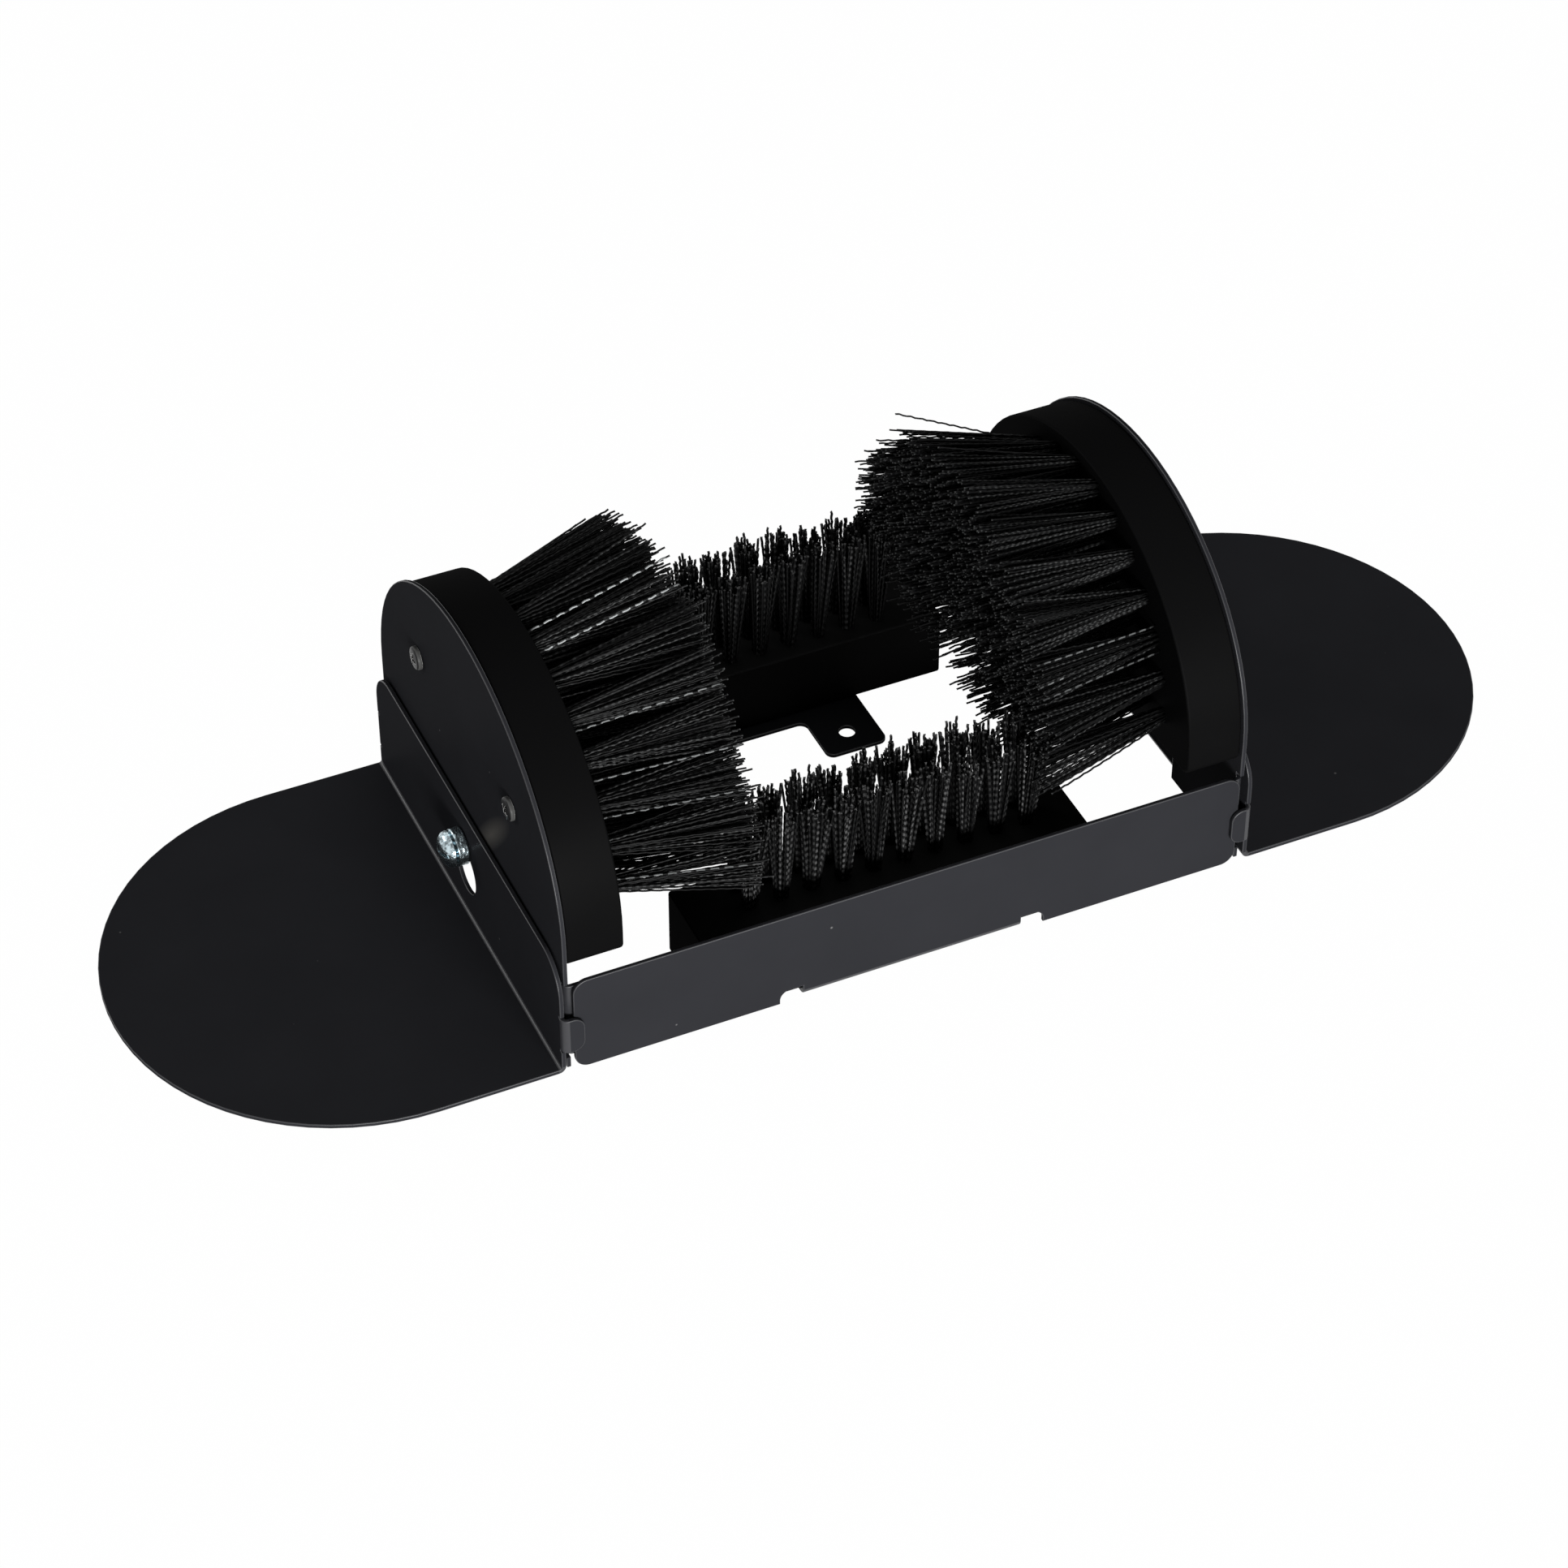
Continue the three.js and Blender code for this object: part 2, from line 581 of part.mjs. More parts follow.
// Slotted mushroom-head bolt: head outside the washer, shank through both sheets.
function boltGeometry() {
  const headX = -upstandFaceX - 2 * seatGap - washerThickness;
  const tailX = -endPlateInnerX + seatGap + nutThickness + boltTail;
  const h = boltHeadHeight;
  const r = boltHeadRadius;
  const profile = [
    [0, -h], [0.35 * r, -0.96 * h], [0.65 * r, -0.82 * h], [0.87 * r, -0.55 * h], [r, -0.2 * h],
    [r, 0], [boltRadius, 0], [boltRadius, tailX - headX], [0, tailX - headX],
  ];
  const bolt = turned(profile, new THREE.Vector3(headX, 0, boltZ), AXIS_X);
  const slot = box(
    new THREE.Vector3(headX - h - 1, -boltSlotWidth / 2, boltZ - 2 * r),
    new THREE.Vector3(headX - h + boltSlotDepth, boltSlotWidth / 2, boltZ + 2 * r),
  );
  return toGeometry(bolt.subtract(slot));
}

function washerGeometry() {
  const bore = boltRadius + screwClearance;
  const profile = [
    [bore, 0], [washerRadius, 0], [washerRadius, washerThickness], [bore, washerThickness], [bore, 0],
  ];
  const start = new THREE.Vector3(-upstandFaceX - seatGap - washerThickness, 0, boltZ);
  return toGeometry(turned(profile, start, AXIS_X));
}

function nutGeometry() {
  const cornerRadius = nutAcrossFlats / Math.sqrt(3);
  const start = new THREE.Vector3(-endPlateInnerX + seatGap, 0, boltZ);
  const hexagon = rod(cornerRadius, nutThickness, start, AXIS_X, 6);
  const boreStart = start.clone().setX(start.x - 1);
  return toGeometry(hexagon.subtract(rod(boltRadius + screwClearance, nutThickness + 2, boreStart, AXIS_X)));
}

function mesh(name, geometry, material) {
  const piece = new THREE.Mesh(geometry, material);
  piece.name = name;
  return piece;
}

// Everything at one end, modelled for the left and turned half round for the right.
function endGroup(side) {
  const group = new THREE.Group();
  group.add(mesh(`${side}_foot_plate`, footPlateGeometry(), blackSheet));
  group.add(mesh(`${side}_end_plate`, endPlateGeometry(), blackSheet));
  group.add(mesh(`${side}_brush_block`, sideBlockGeometry(), blackBlock));
  group.add(mesh(`${side}_bristles`, sideBristleGeometry(), blackBristle));
  group.add(mesh(`${side}_hook_bolt`, boltGeometry(), zinc));
  group.add(mesh(`${side}_hook_washer`, washerGeometry(), zinc));
  group.add(mesh(`${side}_hook_nut`, nutGeometry(), zinc));
  for (const y of [-blockScrewY, blockScrewY]) {
    const isFront = (y < 0) === (side === 'left');
    group.add(mesh(`${side}_block_screw_${isFront ? 'front' : 'rear'}`, panScrewGeometry(y), darkScrew));
  }
  group.rotation.z = side === 'left' ? 0 : Math.PI;
  return group;
}

// One rail with its strip brush, modelled for the front and turned half round for the rear.
function railGroup(side) {
  const group = new THREE.Group();
  group.add(mesh(`${side}_rail`, railGeometry(), blackSheet));
  group.add(mesh(`${side}_brush_block`, stripBlockGeometry(), blackBlock));
  group.add(mesh(`${side}_bristles`, stripBristleGeometry(), blackBristle));
  for (const x of [-stripScrewX, stripScrewX]) {
    const isLeft = (x < 0) === (side === 'front');
    group.add(mesh(`${side}_strip_screw_${isLeft ? 'left' : 'right'}`, flatHeadScrewGeometry(x), darkScrew));
  }
  group.rotation.z = side === 'front' ? 0 : Math.PI;
  return group;
}

const bootScraper = new THREE.Group();
for (const side of ['left', 'right']) bootScraper.add(endGroup(side));
for (const side of ['front', 'rear']) bootScraper.add(railGroup(side));

export default bootScraper;
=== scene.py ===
import math
import random
from functools import partial

import bmesh
import bpy
from bpy.props import FloatProperty, FloatVectorProperty, IntProperty, PointerProperty
from mathutils import Matrix, Vector


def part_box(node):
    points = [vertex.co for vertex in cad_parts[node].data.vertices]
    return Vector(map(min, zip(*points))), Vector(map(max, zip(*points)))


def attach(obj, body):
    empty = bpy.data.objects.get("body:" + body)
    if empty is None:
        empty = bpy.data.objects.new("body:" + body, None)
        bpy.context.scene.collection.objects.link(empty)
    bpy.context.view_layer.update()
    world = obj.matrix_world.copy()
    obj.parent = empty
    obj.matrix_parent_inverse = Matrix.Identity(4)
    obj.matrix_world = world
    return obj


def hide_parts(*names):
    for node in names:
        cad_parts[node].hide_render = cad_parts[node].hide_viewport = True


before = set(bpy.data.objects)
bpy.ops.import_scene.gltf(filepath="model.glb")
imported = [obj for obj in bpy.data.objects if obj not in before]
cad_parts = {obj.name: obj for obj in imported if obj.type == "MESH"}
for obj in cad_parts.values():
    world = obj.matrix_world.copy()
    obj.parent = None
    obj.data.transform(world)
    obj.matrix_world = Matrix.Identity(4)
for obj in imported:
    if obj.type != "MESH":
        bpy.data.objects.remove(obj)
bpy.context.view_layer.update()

bl_info = {
    "name": "Boot Scraper",
    "version": (1, 0, 0),
    "blender": (4, 5, 0),
    "location": "View3D > Sidebar > Boot Scraper",
    "description": "A boot scraper with four brushes in a bent sheet frame and a foot plate at each end",
    "category": "Add Mesh",
}

MM = 0.001
QUARTER_TURN = math.pi / 2
FULL_TURN = 2 * math.pi
X = Vector((1, 0, 0))
Y = Vector((0, 1, 0))
Z = Vector((0, 0, 1))

# Places that come from the frame, for the left end and the front rail. The other pieces are these, turned
# half round.
foot_low, foot_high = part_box("left_foot_plate")
end_low, end_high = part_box("left_end_plate")
rail_low, rail_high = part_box("front_rail")
side_block_low, side_block_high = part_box("left_brush_block")
strip_block_low, strip_block_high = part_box("front_brush_block")
screw_low, screw_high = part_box("left_block_screw_front")
strip_screw_low, strip_screw_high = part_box("front_strip_screw_left")
bolt_low, bolt_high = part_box("left_hook_bolt")
washer_low, washer_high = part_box("left_hook_washer")
nut_low, nut_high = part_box("left_hook_nut")

# The top of a block belongs to its bristles in the frame, and lies a clearance above the rest of it. Here the
# block reaches up to the face that its bristles leave.
CLEARANCE = 0.3 * MM
BLOCK_TOP = 3 * MM
side_face = side_block_high.x + CLEARANCE + BLOCK_TOP
strip_face = strip_block_high.z + CLEARANCE + BLOCK_TOP


def middle(low, high):
    """The middle of a box, as three numbers."""
    return [(a + b) / 2 for a, b in zip(low, high)]


def half_depth(low, high):
    """Half the size of a box along Y, which is the radius of a round piece."""
    return (high.y - low.y) / 2


def turn_to(side):
    """The turn that takes a piece modelled at the left end, or on the front rail, to the side named."""
    return Matrix.Rotation(0 if side in ("left", "front") else math.pi, 4, "Z")


class SheetSettings(bpy.types.PropertyGroup):
    """Bent sheet pieces and their powder coat."""

    thickness: FloatProperty(
        name="Thickness", description="Thickness of the sheet", default=1.5 * MM, unit="LENGTH")
    bend_radius: FloatProperty(
        name="Bend radius", description="Inner radius of every bend", default=1 * MM, unit="LENGTH")
    edge_radius: FloatProperty(
        name="Edge radius", description="Rounding of the coated edges", default=0.3 * MM, unit="LENGTH")
    arc_step: FloatProperty(
        name="Arc step", description="Angle of one segment of a round outline",
        default=math.radians(5), subtype="ANGLE")
    colour: FloatVectorProperty(
        name="Coat colour", description="Colour of the powder coat", subtype="COLOR", size=4,
        default=(0.0208, 0.0212, 0.0240, 1))
    # The colour of the painted glow beside each end plate's bolt, light painted into the coat
    glow_colour: FloatVectorProperty(
        name="Glow colour", description="Colour where an end plate is rubbed", subtype="COLOR", size=4,
        default=(0.088, 0.084, 0.078, 1))
    roughness: FloatProperty(
        name="Roughness", description="Roughness of the powder coat", default=0.42, min=0, max=1)
    gloss: FloatProperty(
        name="Gloss", description="Weight of the gloss over the flat faces", default=0.025, min=0, max=1)
    edge_gloss: FloatProperty(
        name="Edge gloss", description="Specular level where the coat runs over edges and bends",
        default=0.4, min=0, max=1)
    grain: FloatProperty(
        name="Grain", description="Size of the powder coat's fine texture", default=0.9 * MM, unit="LENGTH")


class FootSettings(bpy.types.PropertyGroup):
    """The foot plates that hook on at both ends."""

    depth: FloatProperty(
        name="Depth", description="Depth of a foot plate along Y", default=160 * MM, unit="LENGTH")
    corner_radius: FloatProperty(
        name="Corner radius", description="Radius of an upstand's upper corners",
        default=13 * MM, unit="LENGTH")
    ear_low: FloatProperty(
        name="Ear's lower edge", description="Lower edge of an ear", default=9.5 * MM, unit="LENGTH")
    ear_height: FloatProperty(
        name="Ear height", description="Height of an ear", default=13.5 * MM, unit="LENGTH")
    ear_length: FloatProperty(
        name="Ear length", description="Length of an ear from the upstand's outer face",
        default=7.5 * MM, unit="LENGTH")
    ear_radius: FloatProperty(
        name="Ear radius", description="Corner radius of an ear", default=4 * MM, unit="LENGTH")
    keyhole_drop: FloatProperty(
        name="Keyhole drop", description="From the bolt down to the round part's centre",
        default=11 * MM, unit="LENGTH")
    keyhole_radius: FloatProperty(
        name="Keyhole radius", description="Radius of the round part", default=8.3 * MM, unit="LENGTH")
    keyhole_neck: FloatProperty(
        name="Keyhole neck", description="Half the width of the narrow part", default=3.3 * MM, unit="LENGTH")


class FrameSettings(bpy.types.PropertyGroup):
    """The end plates and the rails."""

    arch_rise: FloatProperty(
        name="Arch rise", description="Height of the half ellipse of an end plate",
        default=67 * MM, unit="LENGTH")
    cutout_half_width: FloatProperty(
        name="Cut-out", description="Half the width of an end plate's cut-out",
        default=35 * MM, unit="LENGTH")
    cutout_height: FloatProperty(
        name="Cut-out height", description="Height of the cut-out", default=24 * MM, unit="LENGTH")
    return_low: FloatProperty(
        name="Return's lower edge", description="Lower edge of the flange behind a rail's end",
        default=5 * MM, unit="LENGTH")
    return_height: FloatProperty(
        name="Return height", description="Height of that flange", default=29 * MM, unit="LENGTH")
    flange_half_length: FloatProperty(
        name="Flange", description="Half the length of a rail's flange", default=38.5 * MM, unit="LENGTH")
    flange_reach: FloatProperty(
        name="Flange reach", description="Reach of the flange from the rail's outer face",
        default=40.5 * MM, unit="LENGTH")
    flange_rise: FloatProperty(
        name="Flange rise", description="Underside of the flange above the floor",
        default=0.6 * MM, unit="LENGTH")
    notch_width: FloatProperty(
        name="Notch", description="Width of the notch at each end of the flange",
        default=8 * MM, unit="LENGTH")
    notch_height: FloatProperty(
        name="Notch height", description="Height of that notch", default=5 * MM, unit="LENGTH")
    notch_radius: FloatProperty(
        name="Notch radius", description="Corner radius of that notch", default=3.5 * MM, unit="LENGTH")
    tongue_width: FloatProperty(
        name="Tongue", description="Width of a floor screw tongue", default=22 * MM, unit="LENGTH")
    tongue_radius: FloatProperty(
        name="Tongue radius", description="Corner radius of a tongue", default=3 * MM, unit="LENGTH")
    hole_radius: FloatProperty(
        name="Floor hole", description="Radius of the hole in a tongue", default=2.8 * MM, unit="LENGTH")
    hole_from_end: FloatProperty(
        name="Hole from end", description="From the tongue's end to that hole",
        default=9.4 * MM, unit="LENGTH")
    rail_radius: FloatProperty(
        name="Rail radius", description="Corner radius of a rail", default=5 * MM, unit="LENGTH")


class BrushSettings(bpy.types.PropertyGroup):
    """The four brushes: blocks and bristles."""

    block_edge: FloatProperty(
        name="Block edge", description="Rounding of a block's edges", default=0.8 * MM, unit="LENGTH")
    block_colour: FloatVectorProperty(
        name="Block colour", description="Colour of the side brushes' blocks", subtype="COLOR", size=4,
        default=(0.0024, 0.0024, 0.0025, 1))
    bar_colour: FloatVectorProperty(
        name="Bar colour", description="Colour of the strip brushes' bars", subtype="COLOR", size=4,
        default=(0.003, 0.003, 0.003, 1))
    # Painted top light: the colour of a bar's upward faces, paler than the bar, standing in for light from
    # above
    bar_top_light_colour: FloatVectorProperty(
        name="Bar top colour", description="Colour of a bar's dusty top", subtype="COLOR", size=4,
        default=(0.02, 0.02, 0.02, 1))
    filament_radius: FloatProperty(
        name="Filament radius", description="Radius of one filament", default=0.37 * MM, unit="LENGTH",
        precision=5)
    crimp_pitch: FloatProperty(
        name="Crimp pitch", description="Length of one wave of a crimped filament",
        default=4.4 * MM, unit="LENGTH")
    crimp_height: FloatProperty(
        name="Crimp height", description="Height of a filament's waves", default=0.17 * MM, unit="LENGTH",
        precision=5)
    strip_crimp_pitch: FloatProperty(
        name="Strip crimp", description="Length of one wave of a filament of a strip brush",
        default=2.8 * MM, unit="LENGTH")
    strip_radius: FloatProperty(
        name="Strip filament", description="Radius of one filament of a strip brush", default=0.5 * MM,
        unit="LENGTH", precision=5)
    arc_height: FloatProperty(
        name="Arc height", description="Centre of the arcs of tufts above the floor",
        default=50 * MM, unit="LENGTH")
    arc_radius: FloatProperty(
        name="Arc radius", description="Radius of the outermost arc of tufts", default=59 * MM, unit="LENGTH")
    arc_spacing: FloatProperty(
        name="Arc spacing", description="From one arc of tufts to the next", default=12 * MM, unit="LENGTH")
    arc_count: IntProperty(name="Arcs", description="Number of arcs of tufts on a side brush", default=5)
    tuft_pitch: FloatProperty(
        name="Tuft pitch", description="From tuft to tuft along an arc", default=13.8 * MM, unit="LENGTH")
    strip_pitch: FloatProperty(
        name="Strip pitch", description="From tuft to tuft along a strip", default=10.8 * MM, unit="LENGTH")
    strip_count: IntProperty(
        name="Strip tufts", description="Number of tufts in a row of a strip", default=10)
    side_reach: FloatProperty(
        name="Side reach", description="Length of a side brush's bristles", default=50.5 * MM, unit="LENGTH")
    strip_reach: FloatProperty(
        name="Strip reach", description="Length of a strip brush's bristles", default=38 * MM, unit="LENGTH")
    side_strands: IntProperty(
        name="Side strands", description="Filaments in a tuft of a side brush", default=60)
    strip_strands: IntProperty(name="Strip strands", description="Filaments in a tuft of a strip", default=36)
    colour: FloatVectorProperty(
        name="Bristle colour", description="Colour of the filaments", subtype="COLOR", size=4,
        default=(0.004, 0.004, 0.0042, 1))
    # Painted glint colour: the crests of the waves are painted in it, standing in for their highlights
    crest_glint_colour: FloatVectorProperty(
        name="Crest colour", description="Colour on the crests of the waves", subtype="COLOR", size=4,
        default=(0.022, 0.0225, 0.0225, 1))
    # The same painted glint for the strip brushes
    strip_crest_glint_colour: FloatVectorProperty(
        name="Strip crest", description="Colour on the crests of a strip brush's filaments", subtype="COLOR",
        size=4, default=(0.038, 0.038, 0.038, 1))
    # Colour of the painted glint dashes on glinting filaments
    glint: FloatVectorProperty(
        name="Glint colour", description="Colour of a worn filament's crests", subtype="COLOR", size=4,
        default=(0.5, 0.52, 0.52, 1))
    seed: IntProperty(name="Seed", description="Seed of every random choice", default=7)


class FastenerSettings(bpy.types.PropertyGroup):
    """Bolts, washers, nuts and screws."""

    pan_height: FloatProperty(
        name="Pan height", description="Height of a pan head", default=2 * MM, unit="LENGTH")
    cross_width: FloatProperty(
        name="Cross width", description="Width of a screw's cross recess", default=1 * MM, unit="LENGTH")
    cross_reach: FloatProperty(
        name="Cross reach", description="Half the length of the cross recess",
        default=2.1 * MM, unit="LENGTH")
    cross_depth: FloatProperty(
        name="Cross depth", description="Depth of the cross recess", default=1.1 * MM, unit="LENGTH")
    slot_width: FloatProperty(
        name="Slot width", description="Width of a hook bolt's slot", default=1.1 * MM, unit="LENGTH")
    slot_depth: FloatProperty(
        name="Slot depth", description="Depth of that slot", default=1.4 * MM, unit="LENGTH")
    segments: IntProperty(name="Segments", description="Segments round a turned piece", default=48)
    zinc: FloatVectorProperty(
        name="Zinc colour", description="Colour of the zinc plating", subtype="COLOR", size=4,
        default=(0.50, 0.60, 0.64, 1))
    dark_steel: FloatVectorProperty(
        name="Screw colour", description="Colour of the screws", subtype="COLOR", size=4,
        default=(0.012, 0.012, 0.0125, 1))
    # Colour of the screws' painted highlights, on the edges of the cross recess and on the rim
    highlight_steel: FloatVectorProperty(
        name="Highlight steel", description="Colour of the screws where their plating is worn",
        subtype="COLOR", size=4, default=(0.75, 0.75, 0.73, 1))


class StageSettings(bpy.types.PropertyGroup):
    """Camera, lamps, floor and world."""

    lens: FloatProperty(name="Lens", description="Focal length in millimetres", default=103.405)
    azimuth: FloatProperty(
        name="Azimuth", description="Turn of the camera round the object", default=math.radians(-24.42),
        subtype="ANGLE")
    elevation: FloatProperty(
        name="Elevation", description="Height of the camera above the horizon", default=math.radians(41.49),
        subtype="ANGLE")
    roll: FloatProperty(
        name="Roll", description="Turn of the picture", default=math.radians(0.057), subtype="ANGLE")
    distance: FloatProperty(
        name="Distance", description="From the camera to its target", default=1494.1 * MM, unit="LENGTH")
    aim_right: FloatProperty(
        name="Aim right", description="The target's place to the right of the origin",
        default=-8.22 * MM, unit="LENGTH")
    aim_up: FloatProperty(
        name="Aim up", description="The target's place above the origin, in the picture",
        default=8.75 * MM, unit="LENGTH")
    floor_size: FloatProperty(name="Floor", description="Side of the floor", default=8.0, unit="LENGTH")
    floor_white: FloatProperty(
        name="Floor white", description="Share of plain white in the floor that the camera sees",
        default=0.993, min=0, max=1)
    floor_colour: FloatVectorProperty(
        name="Floor colour", description="Colour of the floor", subtype="COLOR", size=4,
        default=(0.6, 0.6, 0.6, 1))
    world_light: FloatProperty(name="World", description="Strength of the soft light all round", default=0.07)


class BuildOperator:
    """What the operators share: undo, and an error where a piece can't be finished."""

    bl_options = {"REGISTER", "UNDO"}

    def finish(self, piece, body, slot, nodes):
        """Lets a piece ride on a body and stand for CAD nodes. The slot is not used."""
        if len(piece.data.polygons) == 0:
            raise RuntimeError(f"{piece.name} has no faces")
        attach(piece, body)
        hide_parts(*nodes)

    def add_sided(self, name, bm, materials, side, body, slot, node):
        """Turns a bmesh to its side, shades it and finishes it."""
        piece = mesh_piece(name, bm, materials, turn_to(side))
        shade(piece)
        self.finish(piece, body, slot, [node])


# Nodes of materials and trees

def feed(socket, value):
    """Sets an input, or links it where the value is another node's output."""
    if isinstance(value, bpy.types.NodeSocket):
        socket.id_data.links.new(value, socket)
    else:
        socket.default_value = value


def set_inputs(node, **values):
    """Sets or links a node's inputs. In their names an underscore stands for a space."""
    for name, value in values.items():
        feed(node.inputs[name.replace("_", " ")], value)


def add_node(tree, kind, **values):
    """Adds a node and sets its plain settings and its inputs."""
    node = tree.nodes.new(kind)
    for name, value in values.items():
        if hasattr(node, name):
            setattr(node, name, value)
        else:
            set_inputs(node, **{name: value})
    return node


def add_maths(tree, operation, *values):
    """A sum or the like of numbers."""
    node = add_node(tree, "ShaderNodeMath", operation=operation)
    for socket, value in zip(node.inputs, values):
        feed(socket, value)
    return node.outputs[0]


def add_vectors(tree, operation, *values):
    """A sum or the like of vectors. LENGTH gives a number, and SCALE takes one as its second value."""
    node = add_node(tree, "ShaderNodeVectorMath", operation=operation)
    sockets = [node.inputs[0], node.inputs["Scale"]] if operation == "SCALE" else node.inputs
    for socket, value in zip(sockets, values):
        feed(socket, value)
    return node.outputs["Value" if operation == "LENGTH" else "Vector"]


# Materials

def new_material(name):
    """A node material with a Principled shader, its tree and that shader."""
    material = bpy.data.materials.new(name)
    material.use_nodes = True
    tree = material.node_tree
    return material, tree, tree.nodes["Principled BSDF"]


def object_place(tree):
    """Object coordinates."""
    return add_node(tree, "ShaderNodeTexCoord").outputs["Object"]


def axes_of(tree, vector):
    """The parts of a vector, by the names X, Y and Z."""
    return add_node(tree, "ShaderNodeSeparateXYZ", Vector=vector).outputs


def stored(tree, name):
    """A number that the mesh stores."""
    return add_node(tree, "ShaderNodeAttribute", attribute_name=name).outputs["Fac"]


def add_noise(tree, size, detail):
    """Noise on object coordinates whose features are about as large as size, in metres."""
    noise = add_node(tree, "ShaderNodeTexNoise", Vector=object_place(tree), Scale=1 / size, Detail=detail)
    return noise.outputs["Fac"]


def add_range(tree, source, low, high, to_low, to_high):
    """Maps a value from one range to another, and clamps it."""
    node = add_node(tree, "ShaderNodeMapRange", Value=source, From_Min=low, From_Max=high, To_Min=to_low,
                    To_Max=to_high)
    return node.outputs["Result"]


def add_mix(tree, factor, first, second):
    """Mixes two colours. Each is a colour or a socket."""
    node = add_node(tree, "ShaderNodeMix", data_type="RGBA", Factor=factor)
    colours = [s for s in node.inputs if s.type == "RGBA"]
    for socket, value in zip(colours, (first, second)):
        feed(socket, value)
    return next(s for s in node.outputs if s.type == "RGBA")


def add_clouds(tree, factor, colour, dark, light):
    """A colour that varies with a factor from dark times itself to light times itself."""
    return add_mix(tree, factor, lighter(colour, dark), lighter(colour, light))


def add_wave(tree, along, pitch):
    """A sine of the length along a filament, with the pitch given."""
    return add_maths(tree, "SINE", add_maths(tree, "MULTIPLY", along, FULL_TURN / pitch))


def add_bump(tree, height, strength, distance):
    """Bumps from a height."""
    bump = add_node(tree, "ShaderNodeBump", Strength=strength, Distance=distance, Height=height)
    return bump.outputs["Normal"]


def lighter(colour, by):
    """A colour with each channel multiplied."""
    return (colour[0] * by, colour[1] * by, colour[2] * by, 1)


# The painted glow on an end plate, beside its bolt: the bolt's reflected light painted into the coat. Its
# middle in Y and Z, its half lengths and its turn
GLOW_PLACE = (20 * MM, 50 * MM, 0)
GLOW_SIZE = (26 * MM, 5 * MM, 1)
GLOW_TURN = 0.83


def add_painted_glow(tree):
    """A soft pale patch on each end plate, beside the bolt: a painted glow that stands in for light the bolt
    reflects onto the plate.
    """
    place = axes_of(tree, object_place(tree))
    mirrored = add_maths(tree, "MULTIPLY", place["Y"], add_maths(tree, "SIGN", place["X"]))
    flat = add_node(tree, "ShaderNodeCombineXYZ", X=mirrored, Y=place["Z"])
    patch = add_node(
        tree, "ShaderNodeMapping", vector_type="TEXTURE", Vector=flat.outputs[0],
        Location=GLOW_PLACE, Rotation=(0, 0, GLOW_TURN), Scale=GLOW_SIZE)
    spot = add_node(tree, "ShaderNodeTexGradient", gradient_type="SPHERICAL", Vector=patch.outputs[0])
    return spot.outputs["Fac"]


# The powder coat's faint clouds, and its specks of dust
CLOUD_SIZE = 35 * MM
DUST_SPACING = 17 * MM
DUST_COLOUR = (0.11, 0.11, 0.11, 1)


def powder_coat(name, over_edges, glowing=False):
    """Black powder coat: fine orange peel, faint clouds in its gloss, and a few specks of dust. Over edges
    and bends the coat is glossier."""
    sheet = bpy.context.scene.scraper_sheet
    material, tree, shader = new_material(name)
    peel = add_noise(tree, sheet.grain, 3)
    clouds = add_noise(tree, CLOUD_SIZE, 4)
    dust = add_node(tree, "ShaderNodeTexVoronoi", Vector=object_place(tree), Scale=1 / DUST_SPACING)
    speck = add_range(tree, dust.outputs["Distance"], 0.018, 0.03, 1, 0)
    colour = add_clouds(tree, clouds, sheet.colour, 0.85, 1.15)
    colour = add_mix(tree, speck, colour, DUST_COLOUR)
    # A painted glow beside the bolt, light painted into the coat's colour
    if glowing:
        colour = add_mix(tree, add_painted_glow(tree), colour, tuple(sheet.glow_colour))
    set_inputs(
        shader, Base_Color=colour, Specular_IOR_Level=sheet.edge_gloss if over_edges else 0,
        Roughness=add_range(tree, clouds, 0.3, 0.7, sheet.roughness - 0.04, sheet.roughness + 0.05),
        Normal=add_bump(tree, peel, 0.25, 0.05 * MM))
    if not over_edges:
        set_inputs(shader, Coat_Weight=sheet.gloss, Coat_Roughness=sheet.roughness)
    return material


def coats(glowing=False):
    """The two materials of a coated sheet: its faces, and its edges and bends."""
    # With glowing, the faces carry the painted glow beside the bolt
    faces = "rubbed_coat" if glowing else "powder_coat"
    edges = "powder_coat_edge"
    return [
        bpy.data.materials.get(faces) or powder_coat(faces, False, glowing),
        bpy.data.materials.get(edges) or powder_coat(edges, True),
    ]


def block_plastic(name, colour, sheen, top_light_colour):
    """Matt black plastic of the brush blocks, with the faint texture of its mould, and paler where it faces
    up: a painted top light that stands in for light from above."""
    material, tree, shader = new_material(name)
    grain = add_noise(tree, 0.6 * MM, 2)
    clouds = add_noise(tree, 18 * MM, 3)
    facing = add_node(tree, "ShaderNodeNewGeometry").outputs["True Normal"]
    # Painted top light on the faces that face up
    up = add_range(tree, axes_of(tree, facing)["Z"], 0.5, 0.9, 0, 1)
    base = add_clouds(tree, clouds, colour, 0.8, 1.3)
    set_inputs(
        shader, Base_Color=add_mix(tree, up, base, lighter(top_light_colour, 1)),
        Roughness=add_range(tree, clouds, 0.3, 0.7, 0.55, 0.66), Specular_IOR_Level=0,
        Coat_Weight=sheen, Coat_Roughness=0.55, Normal=add_bump(tree, grain, 0.2, 0.05 * MM))
    return material


